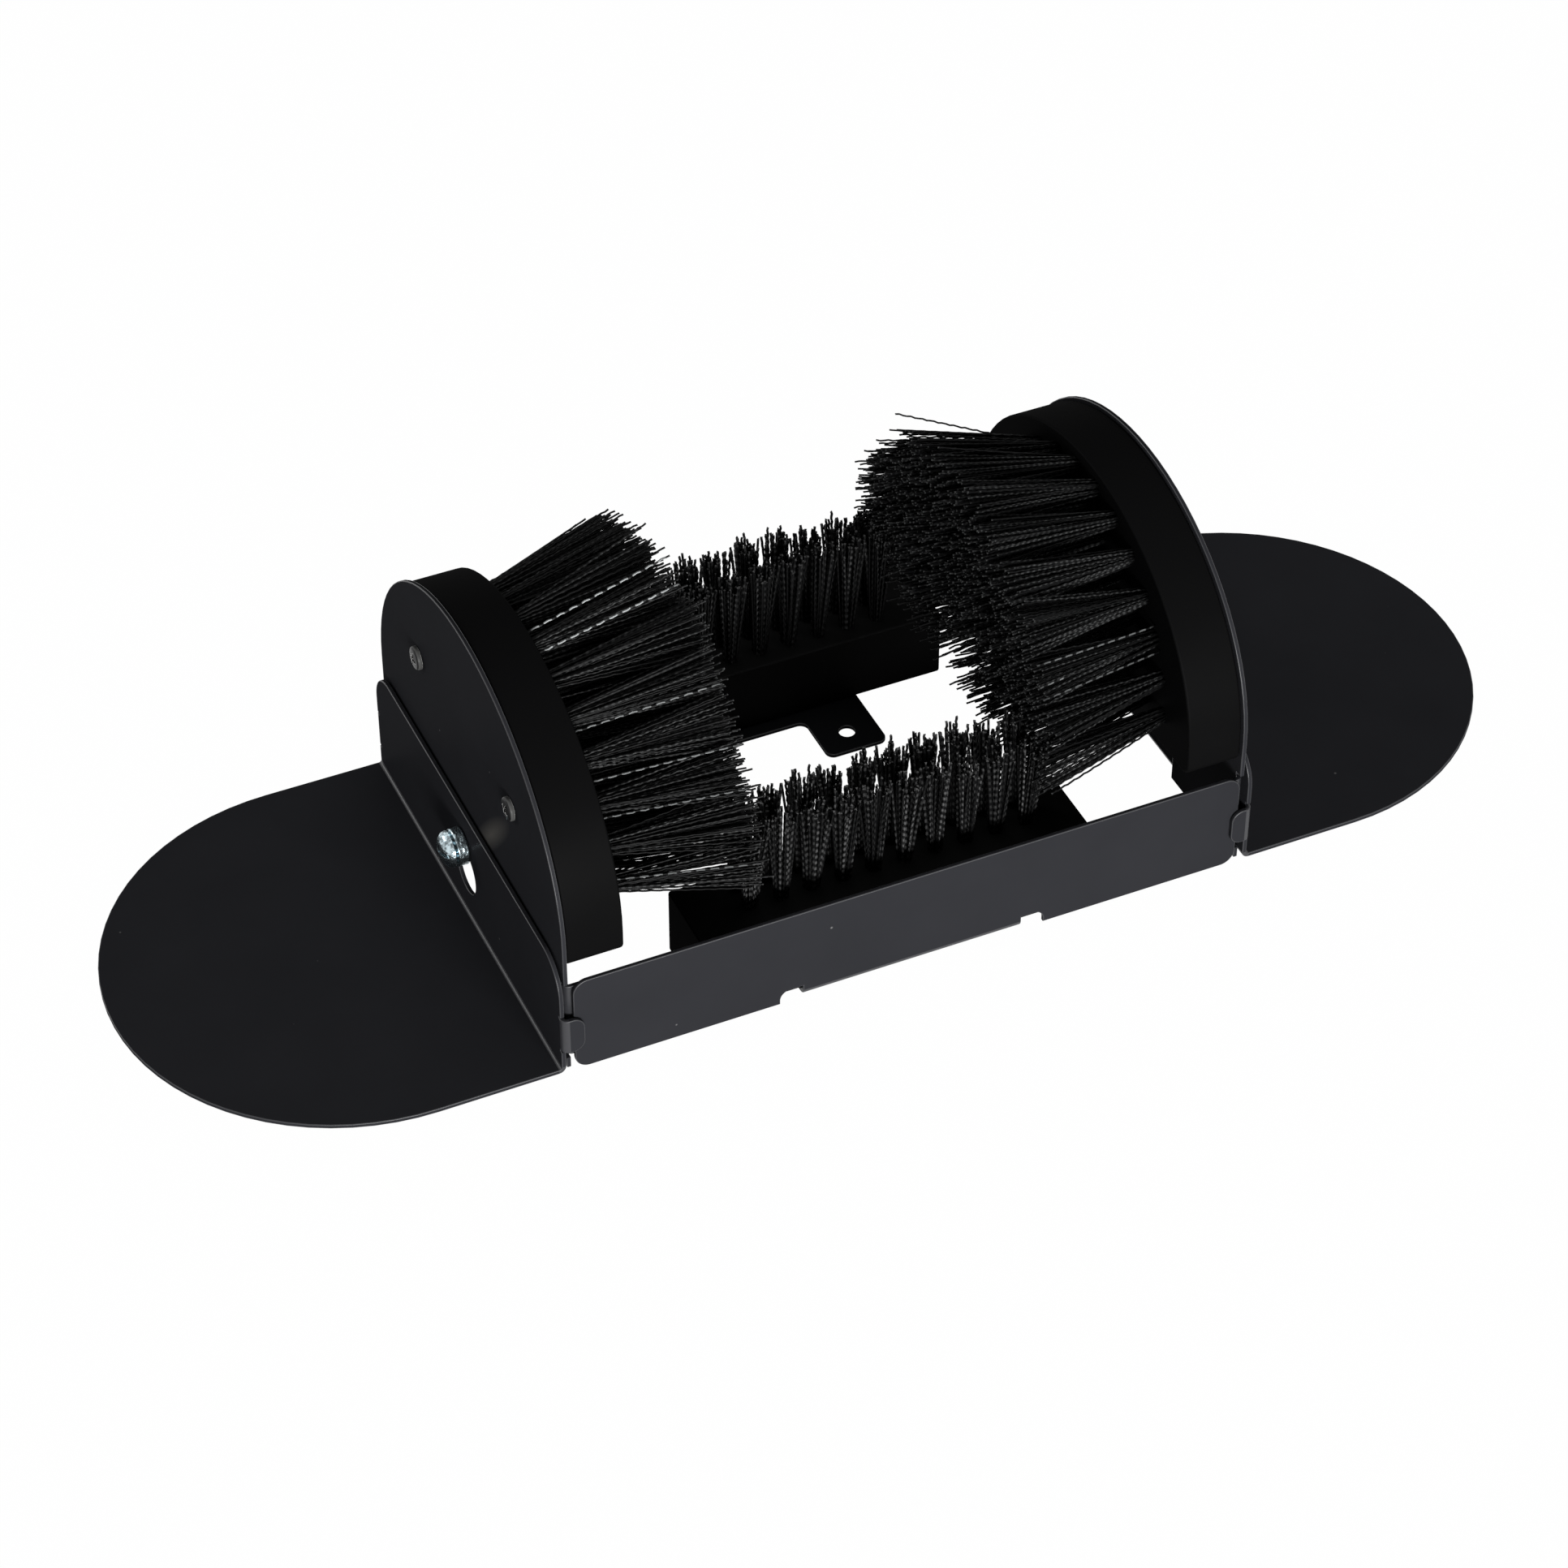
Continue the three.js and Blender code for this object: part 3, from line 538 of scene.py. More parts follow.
def bristle_plastic(name, crest_glint_pitch, dash_glint_pitch, crest_glint_colour, crest_glint_share, root_shade):
    """Black filament with painted glints: the crests of its waves painted paler, standing in for their
    highlights, and hard painted glint dashes on glinting ones. Paler at its cut end and higher up, darker just
    below the cut end, and darker at its root, a painted shade. How much the painted crest glints show on every
    filament is crest_glint_share. The trees that make the bristles store along, share, tone and glinting."""
    brush = bpy.context.scene.scraper_brush
    material, tree, shader = new_material(name)
    along = stored(tree, "along")
    share = stored(tree, "share")
    black = tuple(brush.colour)
    height = axes_of(tree, object_place(tree))["Z"]
    # Paler higher up on the brush, by height and by each filament's random tone
    high_up = add_range(tree, height, 60 * MM, 110 * MM, 1, 2.2)
    brightened = add_maths(tree, "MULTIPLY", add_maths(tree, "POWER", stored(tree, "tone"), 2.2), high_up)
    # Painted glints: the crests of the waves painted paler, standing in for their highlights
    crest_glint = add_range(tree, add_wave(tree, along, crest_glint_pitch), -0.3, 0.6, 1 - crest_glint_share, 1)
    colour = add_mix(tree, crest_glint, black, add_clouds(tree, brightened, crest_glint_colour, 0.2, 2))
    # Painted glint dashes on glinting filaments, standing in for their highlights
    dash = add_range(tree, add_wave(tree, along, dash_glint_pitch), -0.5, -0.2, 0, 1)
    bright = add_maths(tree, "MULTIPLY", dash, stored(tree, "worn"))
    colour = add_mix(tree, bright, colour, tuple(brush.glint))
    colour = add_mix(tree, add_range(tree, share, 0.88, 0.97, 0, 0.6), colour, black)
    cut_end = add_range(tree, share, 0.99, 1, 0, 1)
    colour = add_mix(tree, cut_end, colour, lighter(crest_glint_colour, 2.2))
    # Painted shade at the root, where the filaments crowd into the block
    past_root = add_range(tree, share, 0.02, 0.1, 1 - root_shade, 1)
    colour = add_mix(tree, past_root, lighter(black, 0.3), colour)
    set_inputs(shader, Base_Color=colour, Roughness=0.4, Specular_IOR_Level=0, Coat_Weight=0.13,
               Coat_Roughness=0.36)
    return material


def zinc_plating():
    """Zinc plating over a rough pressing: dull and bright patches, and small dents."""
    settings = bpy.context.scene.scraper_fastener
    material, tree, shader = new_material("zinc_plating")
    patches = add_noise(tree, 1.6 * MM, 2)
    dents = add_noise(tree, 2.2 * MM, 2)
    set_inputs(
        shader, Metallic=1,
        Base_Color=add_clouds(tree, add_range(tree, patches, 0.4, 0.6, 0, 1), settings.zinc, 0.3, 1.2),
        Roughness=add_range(tree, patches, 0.35, 0.65, 0.34, 0.16),
        Normal=add_bump(tree, dents, 0.9, 0.45 * MM))
    return material


def dark_plating():
    """Blackened steel of the screws, with a painted highlight by edge, full where it is 1, on the edges of the
    recess and the rim.
    """
    settings = bpy.context.scene.scraper_fastener
    material, tree, shader = new_material("dark_plating")
    stains = add_noise(tree, 1.2 * MM, 3)
    base = add_clouds(tree, stains, settings.dark_steel, 0.6, 1.3)
    set_inputs(
        shader, Base_Color=add_mix(tree, stored(tree, "edge"), base, tuple(settings.highlight_steel)),
        Roughness=add_range(tree, stains, 0.3, 0.7, 0.3, 0.42), Specular_IOR_Level=0.12,
        Normal=add_bump(tree, stains, 0.25, 0.05 * MM))
    return material


# Outlines

def arc(centre, radius, start, end):
    """Points of an arc from the angle start to the angle end."""
    step = bpy.context.scene.scraper_sheet.arc_step
    count = max(2, math.ceil(abs(end - start) / step))
    points = []
    for k in range(count + 1):
        angle = start + (end - start) * k / count
        points.append((centre[0] + radius * math.cos(angle), centre[1] + radius * math.sin(angle)))
    return points


def rounded(corners):
    """An outline from corners (x, y, radius): each corner with a radius becomes an arc."""
    points = []
    for k, (x, y, radius) in enumerate(corners):
        if radius == 0:
            points.append((x, y))
            continue
        here = Vector((x, y))
        back = (Vector(corners[k - 1][:2]) - here).normalized()
        ahead = (Vector(corners[(k + 1) % len(corners)][:2]) - here).normalized()
        half = back.angle(ahead) / 2
        centre = here + (back + ahead).normalized() * radius / math.sin(half)
        first = here + back * radius / math.tan(half) - centre
        last = here + ahead * radius / math.tan(half) - centre
        start = math.atan2(first.y, first.x)
        turn = (math.atan2(last.y, last.x) - start + math.pi) % FULL_TURN - math.pi
        points += arc(centre, radius, start, start + turn)
    return points


def half_ellipse(half_width, spring, rise):
    """The top of an arch, from right to left, above the height where it springs."""
    return [(half_width * x, spring + rise * y) for x, y in arc((0, 0), 1, 0, math.pi)]


def ring(centre, radius):
    """A full circle, for a hole."""
    return arc(centre, radius, 0, FULL_TURN)[:-1]


# The least cosine between a corner's normal and its edge's, so that a sharp corner isn't moved too far
LEAST_COSINE = 0.3


def inset(points, by):
    """The outline moved inwards, or a hole's outline made wider, along the mean of its edges' normals."""
    area = sum(a[0] * b[1] - b[0] * a[1] for a, b in zip(points, points[1:] + points[:1]))
    sign = 1 if area > 0 else -1
    moved = []
    for k, point in enumerate(points):
        here = Vector(point)
        before = (here - Vector(points[k - 1])).normalized()
        after = (Vector(points[(k + 1) % len(points)]) - here).normalized()
        normal_before = Vector((-before.y, before.x)) * sign
        normal_after = Vector((-after.y, after.x)) * sign
        normal = (normal_before + normal_after).normalized()
        moved.append(here + normal * by / max(normal.dot(normal_before), LEAST_COSINE))
    return moved


# Sheet and blocks

# How close two points lie that are taken for one, and how far past the start of a bend a point is bent
SAME_PLACE = 1e-7
PAST_START = 1e-9
# Segments across a rounded edge and along a bend
EDGE_STEPS = 3
FOLD_STEPS = 6
# How far past a folded flap's edges its points are still picked
PICK_MARGIN = 0.1 * MM


def plate(outline, holes, thickness, edge_radius):
    """A flat plate with rounded edges as a bmesh, in X and Y, from Z 0 up to its thickness."""
    bm = bmesh.new()
    levels = []
    for k in range(EDGE_STEPS + 1):
        angle = QUARTER_TURN * k / EDGE_STEPS
        levels.append((edge_radius * (1 - math.sin(angle)), edge_radius * (1 - math.cos(angle))))
    levels += [(shrink, thickness - lift) for shrink, lift in reversed(levels)]
    ends = {0: [], len(levels) - 1: []}
    for loop, grows in [(outline, 1)] + [(hole, -1) for hole in holes]:
        rings = []
        for shrink, lift in levels:
            rings.append([bm.verts.new((p.x, p.y, lift)) for p in inset(loop, grows * shrink)])
        for level, (lower, upper) in enumerate(zip(rings, rings[1:])):
            for k in range(len(lower)):
                n = (k + 1) % len(lower)
                face = bm.faces.new((lower[k], lower[n], upper[n], upper[k]))
                face.material_index = 0 if level == EDGE_STEPS else 1
        for level, edges in ends.items():
            edges += [bm.edges.get(pair) for pair in zip(rings[level], rings[level][1:] + rings[level][:1])]
    for edges in ends.values():
        bmesh.ops.triangle_fill(bm, use_beauty=True, use_dissolve=False, edges=edges)
    bmesh.ops.recalc_face_normals(bm, faces=bm.faces)
    return bm


def outer_bend():
    """Outer radius of a bend."""
    sheet = bpy.context.scene.scraper_sheet
    return sheet.bend_radius + sheet.thickness


def neutral_bend():
    """Radius of a bend in the middle of the sheet, where it keeps its length."""
    sheet = bpy.context.scene.scraper_sheet
    return sheet.bend_radius + sheet.thickness / 2


def fold_length():
    """Length of the flat sheet that one bend takes up."""
    return neutral_bend() * QUARTER_TURN


def fold(bm, out, lift, start, centre, picked=lambda point: True):
    """Bends a sheet square: what lies past start, along out, is folded towards lift round centre."""
    neutral = neutral_bend()
    length = fold_length()
    for k in range(FOLD_STEPS + 1):
        geometry = bm.verts[:] + bm.edges[:] + bm.faces[:]
        place = out * (start + length * k / FOLD_STEPS)
        bmesh.ops.bisect_plane(bm, geom=geometry, dist=SAME_PLACE, plane_co=place, plane_no=out)
    for face in bm.faces:
        centroid = face.calc_center_median()
        if 0 < centroid.dot(out) - start < length and picked(centroid):
            face.material_index = 1
    for vert in bm.verts:
        run = vert.co.dot(out) - start
        if run <= PAST_START or not picked(vert.co):
            continue
        radius = centre - vert.co.dot(lift)
        angle = min(run / neutral, QUARTER_TURN)
        straight = max(run - length, 0)
        sideways = vert.co - out * vert.co.dot(out) - lift * vert.co.dot(lift)
        along = out * (start + radius * math.sin(angle))
        raised = lift * (centre - radius * math.cos(angle) + straight)
        vert.co = sideways + along + raised


def fold_flaps(bm, start, centre, low, high):
    """Folds the flaps between two heights at both ends along Y towards X."""
    for out in (Y, -Y):
        fold(bm, out, X, start, centre, lambda point: low - PICK_MARGIN < point.z < high + PICK_MARGIN)


def stand_up(bm, u, v, place):
    """Places a bmesh whose own X and Y lie along u and v."""
    matrix = Matrix((u, v, u.cross(v))).transposed().to_4x4()
    matrix.translation = place
    bmesh.ops.transform(bm, matrix=matrix, verts=bm.verts)


def add_object(name, data):
    """An object in the scene."""
    made = bpy.data.objects.new(name, data)
    bpy.context.scene.collection.objects.link(made)
    return made


def mesh_piece(name, bm, materials, matrix=Matrix.Identity(4)):
    """A smooth piece from a bmesh, turned by matrix, with its place in its mesh."""
    bmesh.ops.transform(bm, matrix=matrix, verts=bm.verts)
    bmesh.ops.remove_doubles(bm, verts=bm.verts, dist=SAME_PLACE)
    for face in bm.faces:
        face.smooth = True
    mesh = bpy.data.meshes.new(name)
    bm.to_mesh(mesh)
    bm.free()
    for material in materials:
        mesh.materials.append(material)
    return add_object(name, mesh)


def shade(piece, sharp_angle=math.radians(40)):
    """Keeps flat faces flat and rounded edges smooth."""
    piece.data.set_sharp_from_angle(angle=sharp_angle)
    weighted = piece.modifiers.new("flat_faces", "WEIGHTED_NORMAL")
    weighted.keep_sharp = True
    weighted.weight = 80


class SCRAPER_OT_foot_plates(BuildOperator, bpy.types.Operator):
    """Builds both foot plates as bent blanks, with keyhole and ears"""

    bl_idname = "scraper.foot_plates"
    bl_label = "Foot plates"

    def blank(self, bend_start):
        """The flat blank: the floor part to the left, the upstand past the bend to the right."""
        foot = bpy.context.scene.scraper_foot
        sheet = bpy.context.scene.scraper_sheet
        half = foot.depth / 2
        upright = bend_start + fold_length() - outer_bend()
        top = upright + foot_high.z
        ear_bend = foot_high.y - outer_bend()
        ear_tip = ear_bend + fold_length() + foot.ear_length - outer_bend()
        slot = 0.8 * MM
        slot_bottom = ear_bend - 0.5 * MM
        low = upright + foot.ear_low
        high = low + foot.ear_height
        round_centre = foot_low.x + half
        side = [
            (low - slot, half, 0), (low - slot, slot_bottom, 0), (low, slot_bottom, 0),
            (low, ear_tip, foot.ear_radius), (high, ear_tip, foot.ear_radius), (high, slot_bottom, 0),
            (high + slot, slot_bottom, 0), (high + slot, half, 0), (top, half, foot.corner_radius),
        ]
        corners = [(x, -y, r) for x, y, r in side] + [(x, y, r) for x, y, r in reversed(side)]
        outline = arc((round_centre, 0), half, QUARTER_TURN, 3 * QUARTER_TURN)
        outline += rounded([(round_centre, -half, 0)] + corners + [(round_centre, half, 0)])[1:-1]
        bolt = upright + middle(bolt_low, bolt_high)[2]
        neck = foot.keyhole_neck
        meet = math.asin(neck / foot.keyhole_radius)
        keyhole = arc((bolt - foot.keyhole_drop, 0), foot.keyhole_radius, meet, FULL_TURN - meet)
        keyhole += arc((bolt, 0), neck, -QUARTER_TURN, QUARTER_TURN)
        return plate(outline, [keyhole], sheet.thickness, sheet.edge_radius)

    def execute(self, context):
        foot = context.scene.scraper_foot
        upstand_face = foot_high.x - foot.ear_length
        bend_start = upstand_face - context.scene.scraper_sheet.bend_radius
        for side in ("left", "right"):
            bm = self.blank(bend_start)
            fold(bm, X, Z, bend_start, outer_bend())
            fold_flaps(bm, foot_high.y - outer_bend(), upstand_face + outer_bend(), foot.ear_low,
                       foot.ear_low + foot.ear_height)
            self.add_sided(f"{side}_foot_plate_coated", bm, coats(), side, f"{side}_foot", "black_sheet",
                           f"{side}_foot_plate")
        return {"FINISHED"}


class SCRAPER_OT_end_plates(BuildOperator, bpy.types.Operator):
    """Builds both arched end plates with their cut-out and return flanges"""

    bl_idname = "scraper.end_plates"
    bl_label = "End plates"

    def outline(self, bend_start, low, high):
        """The flat outline in Y and Z: the arch, a flap at both sides and the cut-out at the floor."""
        settings = bpy.context.scene.scraper_frame
        half = end_high.y
        flap_tip = bend_start + fold_length() + (end_high.x - end_low.x) - outer_bend()
        slot = 1 * MM
        cutout = settings.cutout_half_width
        top = settings.cutout_height
        cutout_radius = 4 * MM
        spring = end_high.z - settings.arch_rise
        side = [
            (half, 0), (half, low - slot), (bend_start, low - slot), (bend_start, low),
            (flap_tip, low), (flap_tip, high), (bend_start, high), (bend_start, high + slot),
            (half, high + slot), (half, spring),
        ]
        outline = rounded([(-cutout, 0, 0), (-cutout, top, cutout_radius),
                           (cutout, top, cutout_radius), (cutout, 0, 0)])
        outline += side + half_ellipse(half, spring, settings.arch_rise)[1:-1]
        return outline + [(-y, z) for y, z in reversed(side)]

    def execute(self, context):
        settings = context.scene.scraper_frame
        sheet = context.scene.scraper_sheet
        bend_start = end_high.y - outer_bend()
        low = settings.return_low
        high = low + settings.return_height
        screw_radius = 2.2 * MM
        bolt_radius = 3.3 * MM
        _, screw_y, screw_z = middle(screw_low, screw_high)
        holes = [ring((y, screw_z), screw_radius) for y in (screw_y, -screw_y)]
        holes.append(ring((0, middle(bolt_low, bolt_high)[2]), bolt_radius))
        for side in ("left", "right"):
            bm = plate(self.outline(bend_start, low, high), holes, sheet.thickness, sheet.edge_radius)
            stand_up(bm, Y, Z, Vector((end_low.x, 0, 0)))
            fold_flaps(bm, bend_start, end_low.x + outer_bend(), low, high)
            # The end plates' faces carry the painted glow beside the bolt
            self.add_sided(f"{side}_end_plate_coated", bm, coats(glowing=True), side, "frame", "black_sheet",
                           f"{side}_end_plate")
        return {"FINISHED"}


class SCRAPER_OT_rails(BuildOperator, bpy.types.Operator):
    """Builds both rails with their flange and floor screw tongues"""

    bl_idname = "scraper.rails"
    bl_label = "Rails"

    def blank(self, bend_start):
        """The flat blank in X and Z: the web above, the flange and its tongues below."""
        settings = bpy.context.scene.scraper_frame
        sheet = bpy.context.scene.scraper_sheet
        flat_start = bend_start - fold_length() + outer_bend()
        edge = flat_start - settings.flange_reach
        tip = flat_start - (rail_high.y - rail_low.y)
        outer = settings.flange_half_length
        inner = outer - settings.tongue_width
        notch_end = outer + settings.notch_width
        side = [
            (inner, edge, settings.tongue_radius), (inner, tip, settings.tongue_radius),
            (outer, tip, settings.tongue_radius), (outer, settings.notch_height, 0),
            (notch_end, settings.notch_height, settings.notch_radius), (notch_end, 0, 0),
            (rail_high.x, 0, settings.rail_radius), (rail_high.x, rail_high.z, settings.rail_radius),
        ]
        corners = side + [(-x, z, radius) for x, z, radius in reversed(side)]
        screw_radius = 3.9 * MM
        screw_x, screw_y, _ = middle(strip_screw_low, strip_screw_high)
        screw_z = flat_start - (screw_y - rail_low.y)
        hole_x = (inner + outer) / 2
        holes = [ring((x, tip + settings.hole_from_end), settings.hole_radius) for x in (hole_x, -hole_x)]
        holes += [ring((x, screw_z), screw_radius) for x in (screw_x, -screw_x)]
        return plate(rounded(corners), holes, sheet.thickness, sheet.edge_radius)

    def execute(self, context):
        settings = context.scene.scraper_frame
        bend_start = settings.flange_rise + outer_bend()
        reach = settings.flange_half_length + PICK_MARGIN
        for side in ("front", "rear"):
            bm = self.blank(bend_start)
            stand_up(bm, X, Z, Vector((0, rail_low.y + context.scene.scraper_sheet.thickness, 0)))
            fold(bm, -Z, Y, -bend_start, rail_low.y + outer_bend(), lambda point: abs(point.x) < reach)
            self.add_sided(f"{side}_rail_coated", bm, coats(), side, "frame", "black_sheet", f"{side}_rail")
        return {"FINISHED"}


class SCRAPER_OT_brush_blocks(BuildOperator, bpy.types.Operator):
    """Builds the arched blocks of the side brushes and the bars of the strip brushes"""

    bl_idname = "scraper.brush_blocks"
    bl_label = "Brush blocks"

    def side_block(self, brush, rise):
        """The left block: an arch with upright sides, lying against its end plate."""
        half = side_block_high.y
        foot_radius = 3.5 * MM
        outline = rounded([(-half, side_block_low.z, foot_radius), (half, side_block_low.z, foot_radius),
                           (half, side_block_high.z - rise, 0), (-half, side_block_high.z - rise, 0)])
        outline = outline[:-2] + half_ellipse(half, side_block_high.z - rise, rise)
        bm = plate(outline, [], side_face - side_block_low.x, brush.block_edge)
        stand_up(bm, Y, Z, Vector((side_block_low.x, 0, 0)))
        return bm

    def strip_bar(self, brush):
        """The front bar."""
        low = strip_block_low
        high = strip_block_high
        radius = 1 * MM
        outline = rounded([(low.x, low.y, radius), (high.x, low.y, radius),
                           (high.x, high.y, radius), (low.x, high.y, radius)])
        bm = plate(outline, [], strip_face - low.z, brush.block_edge)
        stand_up(bm, X, Y, Vector((0, 0, low.z)))
        return bm

    def execute(self, context):
        brush = context.scene.scraper_brush
        rise = context.scene.scraper_frame.arch_rise - 1 * MM
        plastic = block_plastic("block_plastic", brush.block_colour, 0.04, brush.block_colour)
        # The bars' tops get painted top light
        bar_plastic = block_plastic("bar_plastic", brush.bar_colour, 0.025, brush.bar_top_light_colour)
        for side in ("left", "right"):
            self.add_sided(f"{side}_side_block", self.side_block(brush, rise), [plastic] * 2, side, "frame",
                           "brush_block", f"{side}_brush_block")
        for side in ("front", "rear"):
            self.add_sided(f"{side}_strip_block", self.strip_bar(brush), [bar_plastic] * 2, side, "frame",
                           "brush_block", f"{side}_brush_block")
        return {"FINISHED"}


# Trees of nodes that make meshes

def start_tree(name, inputs):
    """A tree with named inputs (name, kind, default), and the outputs of its input node."""
    tree = bpy.data.node_groups.new(name, "GeometryNodeTree")
    tree.interface.new_socket(name="Geometry", in_out="INPUT", socket_type="NodeSocketGeometry")
    for label, kind, default in inputs:
        socket = tree.interface.new_socket(name=label, in_out="INPUT", socket_type=kind)
        if default is not None:
            socket.default_value = default
    tree.interface.new_socket(name="Geometry", in_out="OUTPUT", socket_type="NodeSocketGeometry")
    return tree, add_node(tree, "NodeGroupInput").outputs


def end_tree(tree, geometry, material):
    """Ends a tree in Realize Instances and Set Material."""
    real = add_node(tree, "GeometryNodeRealizeInstances", Geometry=geometry)
    dress = add_node(tree, "GeometryNodeSetMaterial", Geometry=real.outputs[0], Material=material)
    add_node(tree, "NodeGroupOutput", Geometry=dress.outputs[0])


def named(tree, attribute, kind="FLOAT"):
    """A value that the mesh stores."""
    node = add_node(tree, "GeometryNodeInputNamedAttribute", data_type=kind, Name=attribute)
    return next(s for s in node.outputs if s.enabled and s.name == "Attribute")


def store(tree, geometry, attribute, value, kind="FLOAT"):
    """The geometry with a value stored on its points."""
    node = add_node(tree, "GeometryNodeStoreNamedAttribute", data_type=kind, domain="POINT", Name=attribute,
                    Geometry=geometry)
    feed(next(s for s in node.inputs if s.enabled and s.name == "Value"), value)
    return node.outputs["Geometry"]


def points_mesh(name, places, attributes):
    """A mesh of loose points that stores attributes (name, kind, values)."""
    mesh = bpy.data.meshes.new(name)
    mesh.from_pydata(places, [], [])
    for label, kind, values in attributes:
        attribute = mesh.attributes.new(label, kind, "POINT")
        for item, value in zip(attribute.data, values):
            setattr(item, "vector" if kind == "FLOAT_VECTOR" else "value", value)
    return mesh


def plain_mesh(source):
    """What an object's modifiers make of it, as a plain mesh."""
    bpy.context.view_layer.update()
    return bpy.data.meshes.new_from_object(source.evaluated_get(bpy.context.evaluated_depsgraph_get()))


def run_tree(name, mesh, tree, values, helpers):
    """Runs a tree on a mesh and gives the plain piece that it makes, without the helper attributes."""
    source = add_object(mesh.name, mesh)
    modifier = source.modifiers.new(tree.name, "NODES")
    modifier.node_group = tree
    sockets = {item.name: item.identifier for item in tree.interface.items_tree if item.in_out == "INPUT"}
    for label, value in values.items():
        modifier[sockets[label]] = value
    made = plain_mesh(source)
    bpy.data.objects.remove(source)
    made.name = name
    for label in helpers:
        attribute = made.attributes.get(label)
        if attribute is not None:
            made.attributes.remove(attribute)
    return add_object(name, made)


# Bristles

# What a tuft stores after its root and its aim, a vector from its root to its tip. Glinting is how bright the
# painted glint dashes on its filaments are, from 0 to 1.
TUFT_VALUES = (
    ("strands", "INT"), ("root_spread", "FLOAT"), ("tip_spread", "FLOAT"), ("spin", "FLOAT"),
    ("worn", "FLOAT"))
# What only helps to place the filaments
FILAMENT_HELPERS = (
    "aim", "strands", "root", "run", "bow", "phase", "crimp_axis", "root_spread", "tip_spread", "spin")
# The angle from one filament of a tuft to the next, which fills a disc evenly
GOLDEN_ANGLE = 2.4
# How deep a tuft's root sits in its block
ROOT_DEPTH = 0.5 * MM
# The largest turn of a tuft's pattern of filaments
LARGEST_SPIN = 6.28
# A direction that no tuft's aim follows, from which the two directions across it are found
ODD_WAY = (0.31, 0.17, 0.93)
# How far a filament strays from its place in the pattern, round the tuft and from its middle
TURN_JITTER = 0.3
DISC_JITTER = 0.07
# How far tips stray, as a share of their tuft's spread: all of them a little, and a few by more, since a
# high power leaves most of the random values near 0
TIP_SCATTER = 0.16
WILD_SCATTER = 0.25
WILD_POWER = 6


